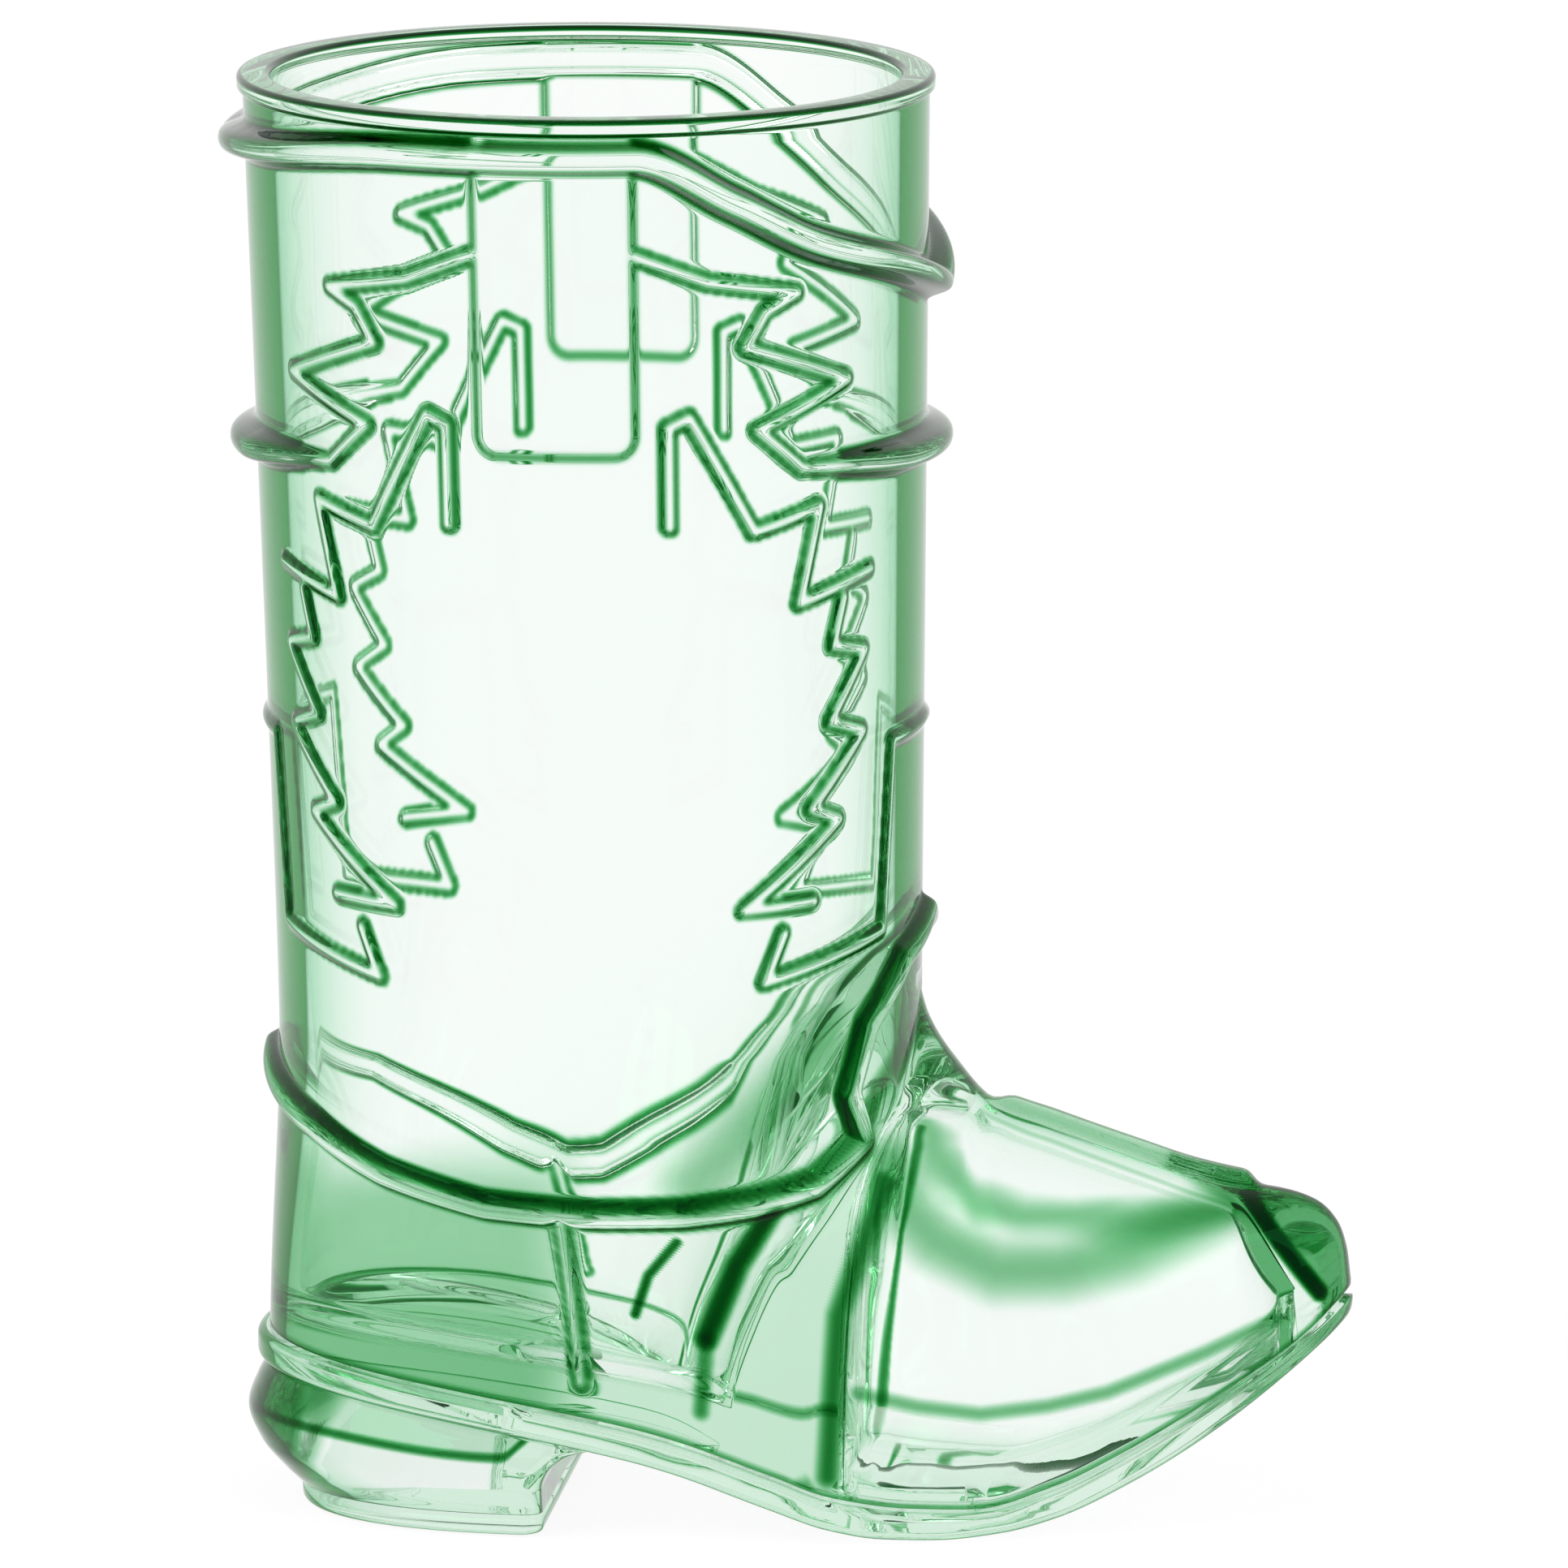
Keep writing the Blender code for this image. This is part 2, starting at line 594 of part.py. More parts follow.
def outsole():
    """The sole plate, with a plug up into the toe hollow and one down into the heel block's pocket."""
    edge = sole_outline(0.0)
    drawn_in = sole_outline(-SOLE_EDGE_ROUND)
    loops = [at_height(drawn_in, sole_top),
             at_height(edge, lambda x: sole_inside(x, SOLE_EDGE_HIGH_SHARE)),
             at_height(edge, lambda x: sole_inside(x, SOLE_EDGE_LOW_SHARE)),
             at_height(drawn_in, sole_z)]
    sole = lofted("outsole", loops)

    def plug_root(x):
        return sole_inside(x, PLUG_ROOT_SHARE)

    plug = hollow_loop(0.0, JOINT_GAP)
    toe_plug = lofted("toe_plug_guide", [at_height(plug, plug_root),
                                         at_height(plug, lambda x: welt_z(x) + TOE_PLUG_HEIGHT)])
    pocket = heel_pocket_loop(JOINT_GAP)
    heel_plug = lofted("heel_plug_guide", [at_height(pocket, lambda x: sole_z(x) - HEEL_PLUG_HEIGHT),
                                           at_height(pocket, plug_root)])
    combine(sole, toe_plug, "UNION")
    combine(sole, heel_plug, "UNION")
    return sole


def heel_loop(outward, breast_x, tuck=0.0):
    """Outline of the heel in plan: round behind, straight across the breast, and tucked in at the back."""
    edge = sole_outline(outward)
    x = stations(edge[:, 0].min(), breast_x)
    side = outline_half_width(edge, x)
    corner = np.clip((x - breast_x) / HEEL_CORNER + 1, 0.0, 1.0)
    side -= HEEL_CORNER * (1 - np.sqrt(1 - corner ** 2))
    x = breast_x + (x - breast_x) * (1 - tuck / (breast_x - x[0]))
    return mirrored(x, side, np.zeros_like(x))


def heel_pocket_loop(clearance):
    """The pocket that cores the heel block from above."""
    return heel_loop(-HEEL_WALL - clearance, HEEL_BREAST_X - HEEL_WALL - clearance)


def heel_top(x):
    return sole_z(x) - JOINT_GAP


def heel_block():
    """The hollow heel, bulging a little behind and drawn in towards the ground."""
    bottom = LIFT_THICKNESS + JOINT_GAP
    pocket = heel_pocket_loop(0.0)
    loops = [at_height(pocket, HEEL_POCKET_FLOOR), at_height(pocket, heel_top)]
    for share, outward, ahead, tuck in HEEL_PROFILE:
        loop = heel_loop(outward, HEEL_BREAST_X + ahead, tuck)
        loops.append(at_height(loop, bottom + share * (heel_top(loop[:, 0]) - bottom)))
    return lofted("heel_block", loops)


def heel_lift():
    """The thin wear plate under the heel."""
    share, outward, ahead, tuck = HEEL_PROFILE[-1]
    outward -= LIFT_EDGE_ROUND / 2
    edge = heel_loop(outward, HEEL_BREAST_X, tuck)
    drawn_in = heel_loop(outward - LIFT_EDGE_ROUND, HEEL_BREAST_X - LIFT_EDGE_ROUND, tuck)
    loops = [at_height(edge, LIFT_THICKNESS),
             at_height(edge, LIFT_EDGE_ROUND),
             at_height(drawn_in, 0.0)]
    return lofted("heel_lift", loops)


def clear_plastic(name, colour, roughness):
    """A see-through tinted plastic."""
    material = bpy.data.materials.new(name)
    material.use_nodes = True
    shader = material.node_tree.nodes["Principled BSDF"]
    shader.inputs["Base Color"].default_value = (*colour, 1.0)
    shader.inputs["Metallic"].default_value = 0.0
    shader.inputs["Roughness"].default_value = roughness
    shader.inputs["IOR"].default_value = 1.5
    shader.inputs["Transmission Weight"].default_value = 1.0
    return material


def centre_on_base(items):
    """Puts the items under one empty that brings the bottom centre of their box to the origin."""
    bpy.context.view_layer.update()
    view = bpy.context.evaluated_depsgraph_get()
    corners = np.array([corner for item in items for corner in item.evaluated_get(view).bound_box])
    low = corners.min(axis=0)
    high = corners.max(axis=0)
    base = bpy.data.objects.new("cup", None)
    bpy.context.scene.collection.objects.link(base)
    base.location = (-(low[0] + high[0]) / 2, -(low[1] + high[1]) / 2, -low[2])
    for item in items:
        item.parent = base


def main():
    for item in list(bpy.data.objects):
        bpy.data.objects.remove(item)
    finishes = [(boot_body, (0.60, 0.88, 0.68), 0.06), (outsole, (0.55, 0.86, 0.64), 0.08),
                (heel_block, (0.50, 0.84, 0.60), 0.08), (heel_lift, (0.48, 0.82, 0.58), 0.12)]
    items = []
    for make, colour, roughness in finishes:
        item = make()
        item.data.materials.append(clear_plastic(item.name + "_plastic", colour, roughness))
        item.data.shade_smooth()
        item.data.set_sharp_from_angle(angle=math.radians(35))
        items.append(item)
    centre_on_base(items)


main()
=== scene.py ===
"""The boot-shaped cup as it looks: clear green moulded plastic with raised stitching, on a white floor.

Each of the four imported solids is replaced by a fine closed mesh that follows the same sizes. Metres, +Z up,
toe along +X. Shapes are worked out from the axis of the leg, as in the part's source, and then moved to the
frame.
"""

import math

import bpy
import numpy as np
from mathutils import Matrix, Vector, kdtree


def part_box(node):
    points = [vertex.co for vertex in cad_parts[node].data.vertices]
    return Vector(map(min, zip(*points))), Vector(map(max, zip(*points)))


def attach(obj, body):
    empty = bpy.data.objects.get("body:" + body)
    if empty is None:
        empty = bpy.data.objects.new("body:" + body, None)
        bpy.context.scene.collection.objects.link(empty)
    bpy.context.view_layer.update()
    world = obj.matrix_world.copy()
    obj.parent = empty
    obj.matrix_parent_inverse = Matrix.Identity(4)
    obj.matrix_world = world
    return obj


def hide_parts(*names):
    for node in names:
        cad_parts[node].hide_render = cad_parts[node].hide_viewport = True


# Leg
CUP_HEIGHT = 0.1520
MOUTH_RADIUS = 0.0361
ANKLE_RADIUS = 0.0338
ANKLE_Z = 0.0520
ANKLE_BLEND = 0.0120
LEG_LEAN = 0.0015
LIP_PROUD = 0.0006
LIP_HEIGHT = 0.0014
RIM_ROUND = 0.0006
LIP_LAST_SHARE = 0.9

# Foot
INSTEP_Z = 0.0570
HEEL_SEAT_Z = 0.0170
HEEL_HALF_WIDTH = 0.0238
HEEL_SQUARENESS = 2.4
COUNTER_SWELL = 0.0012
FOOT_CROWN = 2.3
TOE_NOSE_RADIUS = 0.0055
FOOT_BLEND = 0.0020
BLEND_FADE_LEVEL = 0.3
TOE_EDGE_BLEND = 0.0004

# Drink cavity
LEG_WALL = 0.0030
BACK_WALL = 0.0036
SIDE_WALL_AT_FLOOR = 0.0060
CAVITY_TOP_Z = 0.0640
CAVITY_SQUARENESS = 2.3
BOWL_SIDE = 0.0150
BOWL_END = 0.0030
BOWL_RISE = 0.0045

# Toe hollow
TOE_WALL = 0.0032
HOLLOW_BACK_X = 0.0280
HOLLOW_FRONT_X = 0.0742
HOLLOW_NOSE = 0.0060
HOLLOW_CROWN = 2.3
HOLLOW_CORNER = 0.0030
HOLLOW_TOP_SHARE = 0.9995

# Outsole
JOINT_GAP = 0.0003
WELT_LEDGE = 0.0013
TOE_LEDGE = 0.0002
TOE_LEDGE_X = 0.0640
TOE_LEDGE_RUN = 0.0140
SOLE_EDGE_ROUND = 0.0010
TOE_PLUG_HEIGHT = 0.0024
HEEL_PLUG_HEIGHT = 0.0024

# Heel
HEEL_BREAST_X = -0.0024
HEEL_CORNER = 0.0022
HEEL_WALL = 0.0042
HEEL_POCKET_FLOOR = 0.0050
LIFT_THICKNESS = 0.0020
LIFT_EDGE_ROUND = 0.0007

# Painted shade, laid on as a deeper green: on the counter above the heel, the snip of the toe, the edges of
# the raised ornament and of the rim, the welt, and in the heel the plug as its sides show it, the line under
# it and the back
COUNTER_PAINTED_SHADE = 0.22
COUNTER_TOP_Z = 0.0420
FAR_COUNTER_TOP_Z = 0.0320
COUNTER_FADE = 0.0070
COUNTER_FRONT_X = 0.0020
SNIP_PAINTED_SHADE = 0.8
SNIP_TOP = (0.0703, 0.0338)
SNIP_FOOT = (0.0780, 0.0240)
ORNAMENT_EDGE_PAINTED_SHADE = 3.6
RIM_PAINTED_SHADE = 3.4
WELT_PAINTED_SHADE = 0.9
WELT_FADE = 0.0009
HEEL_PLUG_PAINTED_SHADE = 0.2
HEEL_LINE_PAINTED_SHADE = 1.5
HEEL_LINE_FADE = 0.0007
HEEL_BACK_PAINTED_SHADE = 0.9
HEEL_BACK_X = -0.0275
HEEL_BACK_FADE = 0.0030

# Raised ornament: sizes, how far each form stands out, and how strong and broad the painted shade along its
# edges is
STRAP_HALF_ANGLE = 13.4
STRAP_DROP = 0.0355
STRAP_PROUD = 0.0007
STRAP_LINE = 0.35
STRAP_CORNER = 0.0022
FLAME_BEAD = 0.0010
FLAME_BEAD_PROUD = -0.0004
STRONG_BEAD = 0.0016
STRONG_BEAD_PROUD = 0.0012
ANKLE_BEAD = 0.0015
ANKLE_BEAD_PROUD = 0.0002
VAMP_STRIP = 0.0014
STRIP_LINE = 0.08
STRIP_BACK_X = 0.0437
STRIP_FRONT_X = 0.0705
SEAM_BEAD = 0.0010
RELIEF_EDGE = 0.00048
EDGE_LINE_GAIN = 1.6
FOOT_BEADS_REACH = 0.004

# Points on each ring, and the step between those that a coarse ring takes
AROUND = 960
COARSE = 4

# Rings on each stretch of a surface, and rings next to the welt that no ornament lifts
LEG_RINGS = 380
FOOT_RINGS = 170
BOWL_RINGS = 24
CAVITY_RINGS = 60
SHAFT_RINGS = 30
RIM_RINGS = 7
LIP_RINGS = 8
FLAT_RINGS = 30
HOLLOW_RINGS = 60
HEEL_RINGS = 60
PLAIN_RINGS = 3

# Steps along the vamp and the collar, and the length of a step along the other beads
VAMP_STEPS = 4000
COLLAR_STEPS = 1500
PATH_STEP = 0.00008

# Side profiles of the foot, as (distance ahead of the leg's axis, height above the ground)
WELT_LINE = [(-0.036, 0.0190), (-0.027, 0.0175), (-0.008, 0.0146), (0.007, 0.0117), (0.022, 0.0069),
             (0.028, 0.0048), (0.036, 0.0034), (0.043, 0.0031), (0.051, 0.0052), (0.058, 0.0084),
             (0.068, 0.0140), (0.076, 0.0193), (0.081, 0.0240)]
SOLE_LINE = [(-0.038, 0.0156), (-0.027, 0.0141), (-0.008, 0.0112), (0.007, 0.0082), (0.022, 0.0033),
             (0.028, 0.0013), (0.033, 0.0003), (0.0395, 0.0), (0.0455, 0.0005), (0.051, 0.0018),
             (0.0595, 0.0056), (0.068, 0.0106), (0.076, 0.0166), (0.082, 0.0222)]
VAMP_LINE = [(0.0, 0.105), (0.020, 0.083), (0.030, 0.067), (0.0349, 0.0563), (0.0362, 0.0520),
             (0.0392, 0.0472), (0.0431, 0.0430), (0.0496, 0.0406), (0.0582, 0.0377), (0.0642, 0.0358),
             (0.0693, 0.0347), (0.0740, 0.0340), (0.0772, 0.0329), (0.0795, 0.0306), (0.0805, 0.0277),
             (0.0809, 0.0245)]
WELT_HALF_WIDTH = [(-0.012, -0.010), (0.0, 0.0160), (0.010, 0.0214), (0.020, 0.0238), (0.031, 0.0246),
                   (0.040, 0.0235), (0.050, 0.0201), (0.060, 0.0150), (0.071, 0.0092), (0.080, 0.0044)]

# Side profile of the heel block, as (share of its height, distance out from the sole's edge, distance of its
# front ahead of the heel's breast, distance that its back is tucked in)
HEEL_PROFILE = [(1.0, -SOLE_EDGE_ROUND, 0.0050, 0.0), (0.85, 0.0, 0.0025, 0.0), (0.6, 0.0010, 0.0006, 0.0),
                (0.35, 0.0006, 0.0, 0.0008), (0.15, 0.0, 0.0, 0.0024), (0.0, -0.0008, 0.0, 0.0036)]

# Line under the plug as it shows in the heel's sides, as (distance ahead of the leg's axis, height)
HEEL_LINE = [(-0.0340, 0.0105), (-0.0260, 0.0100), (-0.0066, 0.0086), (-0.0045, 0.0100), (-0.0024, 0.0118)]

# Floor of the drink cavity, and the roof of the toe hollow, as (distance ahead of the leg's axis, height)
CAVITY_FLOOR = [(-0.034, 0.0205), (-0.027, 0.0192), (-0.008, 0.0164), (0.007, 0.0134), (0.0169, 0.0108)]
HOLLOW_ROOF = [(0.0280, 0.0400), (0.0300, 0.0440), (0.0340, 0.0440), (0.0400, 0.0420), (0.0670, 0.0325),
               (0.0690, 0.0310), (0.0742, 0.0235)]

# Front wall of the drink cavity, as (share of its height below the leg, distance ahead of the leg's axis)
CAVITY_FRONT = [(0.0, 0.0169), (0.15, 0.0190), (0.36, 0.0229), (0.73, 0.0280), (0.86, 0.0305),
                (0.95, 0.0320), (1.0, 0.03235)]

# Ornament on a quarter of the leg, as (degrees from the middle of the side, drop below the rim)
COLLAR_LINE = [(-90, 0.0071), (-60, 0.0060), (-25, 0.0042), (13, 0.0040), (30, 0.0091), (46, 0.0141),
               (67, 0.0178), (90, 0.0217)]
BROW = [(12, 0.0140), (26, 0.0174), (43, 0.0192), (36.7, 0.0209), (32.8, 0.0245), (54.6, 0.0290),
        (35, 0.0333), (44, 0.0378), (70, 0.0384), (90, 0.0384)]
FLAME_TOP = [(19, 0.0430), (19, 0.0325), (22.5, 0.0315), (34.3, 0.0440), (47.8, 0.0420), (43.4, 0.0520),
             (61, 0.0496)]
FLAME_MIDDLE = [(53.6, 0.0520), (51, 0.0570), (59.4, 0.0580), (50.3, 0.0650), (59, 0.0666), (46, 0.0740),
                (52.6, 0.0755), (32, 0.0840), (46.5, 0.0838)]
FLAME_FOOT = [(40, 0.0868), (36, 0.0918), (65.6, 0.0884), (68.8, 0.0686), (90, 0.0680)]

# Bead round the ankle on the two sides, as (degrees from the middle of the side, height above the ground)
NEAR_ANKLE_LINE = [(-53.5, 0.0425), (-35.1, 0.0390), (-14.6, 0.0363), (3.5, 0.0355), (20.9, 0.0355),
                   (34.2, 0.0362), (47.8, 0.0377), (59.9, 0.0417), (55.2, 0.0471), (60.1, 0.0538),
                   (72.6, 0.0599)]
FAR_ANKLE_LINE = [(-54.4, 0.0416), (-29.7, 0.0341), (-16.9, 0.0302), (-6.0, 0.0279), (2.6, 0.0279),
                  (13.5, 0.0299), (24.0, 0.0315), (35.0, 0.0335), (44.0, 0.0385), (52.0, 0.0455),
                  (60.1, 0.0538), (72.6, 0.0599)]
ANKLE_BACK_Z = 0.0478
ANKLE_FRONT_Z = 0.0634

# Seam down each side of the foot, as (distance ahead of the leg's axis, height above the ground)
NEAR_SEAM = [(0.0002, 0.0352), (0.0018, 0.0165)]
FAR_SEAM = [(-0.0042, 0.0280), (0.0005, 0.0170)]

# Streaks of painted shade in the foot, a deeper green for inner edges seen through the plastic and for a
# crease, as (green, half width, sides, line), each line as (distance ahead of the leg's axis, height above
# the ground): the crescent in the toe, the far welt as the near side shows it, the front of the drink cavity
# in three parts, a thinner streak behind it, the back of the toe hollow, the crease of the ankle and the back
# of the snip
NEAR_SIDE = (1,)
BOTH_SIDES = (1, -1)
PAINTED_SHADE_STREAKS = [
    (0.60, 0.0050, BOTH_SIDES, [(0.0338, 0.0385), (0.0359, 0.0337), (0.0386, 0.0311), (0.0448, 0.0280),
                                (0.0516, 0.0279), (0.0584, 0.0293), (0.0652, 0.0320), (0.0688, 0.0335)]),
    (0.70, 0.0012, NEAR_SIDE, [(0.0308, 0.0158), (0.0370, 0.0142), (0.0435, 0.0132), (0.0504, 0.0138),
                               (0.0565, 0.0150), (0.0664, 0.0185), (0.0735, 0.0215)]),
    (3.20, 0.0018, NEAR_SIDE, [(0.0218, 0.0350), (0.0183, 0.0295), (0.0150, 0.0215)]),
    (1.20, 0.0013, NEAR_SIDE, [(0.0150, 0.0215), (0.0144, 0.0136)]),
    (0.45, 0.0060, NEAR_SIDE, [(0.0275, 0.0530), (0.0190, 0.0440), (0.0145, 0.0390)]),
    (2.60, 0.0007, NEAR_SIDE, [(0.0122, 0.0323), (0.0091, 0.0285), (0.0076, 0.0241)]),
    (1.60, 0.0018, BOTH_SIDES, [(0.0330, 0.0370), (0.0305, 0.0290), (0.0288, 0.0240), (0.0282, 0.0140),
                                (0.0278, 0.0070)]),
    (1.20, 0.0024, BOTH_SIDES, [(0.0355, 0.0520), (0.0340, 0.0495), (0.0319, 0.0461), (0.0307, 0.0409)]),
    (6.00, 0.0013, BOTH_SIDES, [SNIP_TOP, SNIP_FOOT])]

# Plastic: the green that a thick piece takes on, the green of painted shade where the surface is marked 1,
# the green by how far a surface is turned away, from 0 where it faces the eye to 1 where it is seen edge on,
# and the tint of reflections
PLASTIC_IOR = 1.49
DEPTH_GREEN = (0.10, 0.63, 0.25)
PAINTED_SHADE_GREEN = (0.006, 0.12, 0.014)
EDGE_GREEN = [(0.12, (0.985, 0.995, 0.99)), (0.32, (0.91, 0.965, 0.93)), (0.50, (0.52, 0.79, 0.60)),
              (0.58, (0.22, 0.58, 0.33)), (0.60, (0.0006, 0.075, 0.003)), (0.86, (0.0006, 0.075, 0.003)),
              (0.94, (0.0001, 0.010, 0.0005))]
GLOSS_GREEN = (0.03, 0.55, 0.12)

# How much of the edge-on green inner surfaces hold back, and the share of that which the tops of beads do
INSIDE_HELD_BACK = 0.4
BEAD_HELD_BACK = 0.5

# Slight unevenness of the moulded faces: patches per metre, spread of their roughness, and faint waves
PATCH_SCALE = 60.0
ROUGHNESS_SPREAD = 0.5
WAVE_STRENGTH = 0.10
WAVE_HEIGHT = 0.0002

# Studio: the world's light, the floor, lamps as (name, place, power), and the light's bounces in plastic
WORLD_LIGHT = 0.4
FLOOR_REACH = 6.0
FLOOR_DROP = 0.0002
FLOOR_GREY = 0.18
FLOOR_GLOW = 0.92
LAMPS = [("key_light", (-0.9, -0.9, 1.2), 6.0), ("fill_light", (1.1, -0.6, 0.8), 3.0)]
LAMP_SIZE = 0.9
LAMP_TARGET = (0.0, 0.0, 0.07)
LIGHT_BOUNCES = 32

# Camera, from the leg's axis: its place, its heading from +Y towards -X, its fall, its lens and its reach
CAMERA_PLACE = (0.261321, -2.486305, 0.512256)
CAMERA_HEADING = 5.5242
CAMERA_FALL = 9.8979
CAMERA_LENS = 552.95
CAMERA_SENSOR = 36.0
CAMERA_REACH = 50.0


def curve_through(points):
    """A smooth height through points of rising distance, which never overshoots between two of them."""
    x, y = np.array(points, float).T
    step = np.diff(x)
    rise = np.diff(y) / step
    slope = np.zeros_like(y)
    flat = rise[:-1] * rise[1:] <= 0
    ahead = 2 * step[1:] + step[:-1]
    behind = step[1:] + 2 * step[:-1]
    with np.errstate(divide="ignore", invalid="ignore"):
        mean = (ahead + behind) / (ahead / rise[:-1] + behind / rise[1:])
    slope[1:-1] = np.where(flat, 0.0, mean)
    slope[0] = rise[0]
    slope[-1] = rise[-1]

    def at(value):
        value = np.clip(value, x[0], x[-1])
        k = np.clip(np.searchsorted(x, value) - 1, 0, len(step) - 1)
        t = (value - x[k]) / step[k]
        start = (1 + 2 * t) * (1 - t) ** 2 * y[k] + t * (1 - t) ** 2 * step[k] * slope[k]
        end = t ** 2 * (3 - 2 * t) * y[k + 1] + t ** 2 * (t - 1) * step[k] * slope[k + 1]
        return start + end

    return at


welt_z = curve_through(WELT_LINE)
sole_z = curve_through(SOLE_LINE)
vamp_z = curve_through(VAMP_LINE)
welt_half_width = curve_through(WELT_HALF_WIDTH)
cavity_floor_z = curve_through(CAVITY_FLOOR)
cavity_front_x = curve_through(CAVITY_FRONT)
hollow_line_z = curve_through(HOLLOW_ROOF)
heel_line_z = curve_through(HEEL_LINE)
collar_drop = curve_through(COLLAR_LINE)


def smooth_step(t):
    """0 up to 0, 1 from 1 on, and a soft rise between them."""
    t = np.clip(t, 0.0, 1.0)
    return t * t * (3 - 2 * t)


def smooth_max(a, b, blend):
    """The larger of two values, with a soft change from one to the other."""
    return (a + b + np.sqrt((a - b) ** 2 + blend ** 2)) / 2


def up_the_leg(z):
    """0 below the ankle and 1 at the mouth, with a soft start."""
    return smooth_max(z - ANKLE_Z, 0.0, ANKLE_BLEND) / (CUP_HEIGHT - ANKLE_Z)


def leg_radius(z):
    return ANKLE_RADIUS + (MOUTH_RADIUS - ANKLE_RADIUS) * up_the_leg(z)


def below_ankle(z):
    """0 at the ankle and above it, 1 at the heel seat."""
    return smooth_step((ANKLE_Z - z) / (ANKLE_Z - HEEL_SEAT_Z))


def leg_centre_x(z):
    return LEG_LEAN * (1 - up_the_leg(z)) - COUNTER_SWELL * below_ankle(z)


def leg_half_width(z):
    """Half the leg's width, which draws in from the ankle to the heel seat."""
    return leg_radius(z) + (HEEL_HALF_WIDTH - ANKLE_RADIUS) * below_ankle(z)


def foot_z(x, level):
    """Height of a foot slice, which follows the welt at level 0 and is flat at the instep at level 1."""
    return welt_z(x) + level * (INSTEP_Z - welt_z(x))


def foot_level(x, z):
    return (z - welt_z(x)) / (INSTEP_Z - welt_z(x))


VAMP_X = np.linspace(VAMP_LINE[0][0], VAMP_LINE[-1][0], VAMP_STEPS)
VAMP_LEVEL = foot_level(VAMP_X, vamp_z(VAMP_X))


def foot_front_x(level):
    """How far ahead a foot slice reaches, on the centre line of the vamp or on the front of the leg."""
    on_vamp = np.interp(-level, -VAMP_LEVEL, VAMP_X)
    return max(on_vamp, leg_centre_x(INSTEP_Z) + ANKLE_RADIUS)


def leg_back_x(level):
    """Where a foot slice meets the back of the counter."""
    z = foot_z(leg_centre_x(ANKLE_Z) - ANKLE_RADIUS, level)
    return leg_centre_x(z) - leg_radius(z)


def leg_side_y(x, z):
    """Half-width of the leg at x, negative ahead of it and behind it."""
    across = np.abs(x - leg_centre_x(z)) / leg_radius(z)
    power = 2 + (HEEL_SQUARENESS - 2) * below_ankle(z)
    inside = np.clip(1 - across ** power, 0.0, None) ** (1 / power)
    return leg_half_width(z) * (inside - 2 * np.clip(across - 1, 0.0, None))


def foot_side_y(x, level):
    """Half-width of the foot at x: an arched vamp, cut by the rounded snip of the toe."""
    top = foot_level(x, vamp_z(x))
    arch = 1 - np.clip(level / np.maximum(top, 0.001), 0.0, 1.0) ** FOOT_CROWN
    side = welt_half_width(x) * np.sqrt(arch)
    snip = np.sqrt(2 * TOE_NOSE_RADIUS * np.clip(foot_front_x(level) - x, 0.0, None))
    return -smooth_max(-side, -snip, TOE_EDGE_BLEND)


def body_side_y(x, level):
    """Half-width of the body's outside at x on one slice."""
    z = foot_z(x, level)
    blend = FOOT_BLEND * smooth_step((1 - level) / BLEND_FADE_LEVEL)
    return np.clip(smooth_max(leg_side_y(x, z), foot_side_y(x, level), blend), 0.0, None)


def stations(back_x, front_x):
    """Distances along one side, close together at the two ends, where an outline turns."""
    turn = np.linspace(0.0, math.pi, AROUND // 2 + 1)
    return (back_x + front_x) / 2 - (front_x - back_x) / 2 * np.cos(turn)


def mirrored(x, y, z):
    """A closed ring from the back, along the near side to the front and back along the far side."""
    y = np.array(y, float)
    y[[0, -1]] = 0.0
    near = np.column_stack([x, -y, z])
    far = np.column_stack([x, y, z])[-2:0:-1]
    return np.vstack([near, far])


def evened(ring):
    """A mirrored ring with its points set at even steps along each side."""
    half = AROUND // 2
    near = ring[:half + 1]
    run = np.concatenate([[0.0], np.cumsum(np.linalg.norm(np.diff(near, axis=0), axis=1))])
    even = np.linspace(0.0, run[-1], half + 1)
    x, y, z = (np.interp(even, run, near[:, i]) for i in range(3))
    return mirrored(x, -y, z)


def leg_ring(z, outward):
    """A circle round the leg, its radius changed by outward."""
    centre = leg_centre_x(z)
    radius = leg_radius(z) + outward
    x = stations(centre - radius, centre + radius)
    return mirrored(x, np.sqrt(np.clip(radius ** 2 - (x - centre) ** 2, 0.0, None)), np.full_like(x, z))


def foot_ring(level):
    """The body's outline on one slice of the foot."""
    x = stations(leg_back_x(level), foot_front_x(level))
    return evened(mirrored(x, body_side_y(x, level), foot_z(x, level)))


def cavity_ring(share, bowl=0.0):
    """The drink cavity's outline at a share of its height; bowl is 1 on its floor and 0 above the bowl."""
    z = CAVITY_FLOOR[0][1] + share * (CAVITY_TOP_Z - CAVITY_FLOOR[0][1])
    centre = leg_centre_x(z)
    round_part = smooth_step(share)
    inner = leg_radius(z) - LEG_WALL
    back = centre - leg_radius(z) + BACK_WALL + (LEG_WALL - BACK_WALL) * round_part + bowl * BOWL_END
    front = min(cavity_front_x(share), centre + inner)
    side_wall = SIDE_WALL_AT_FLOOR + (LEG_WALL - SIDE_WALL_AT_FLOOR) * round_part
    power = CAVITY_SQUARENESS + (2 - CAVITY_SQUARENESS) * round_part
    x = stations(back, front)
    along = np.abs(2 * (x - back) / (front - back) - 1)
    height = cavity_floor_z(x) + share * (CAVITY_TOP_Z - cavity_floor_z(x))
    half_width = leg_half_width(height) - side_wall - bowl * BOWL_SIDE
    side = half_width * np.clip(1 - along ** power, 0.0, None) ** (1 / power)
    return mirrored(x, side, height)


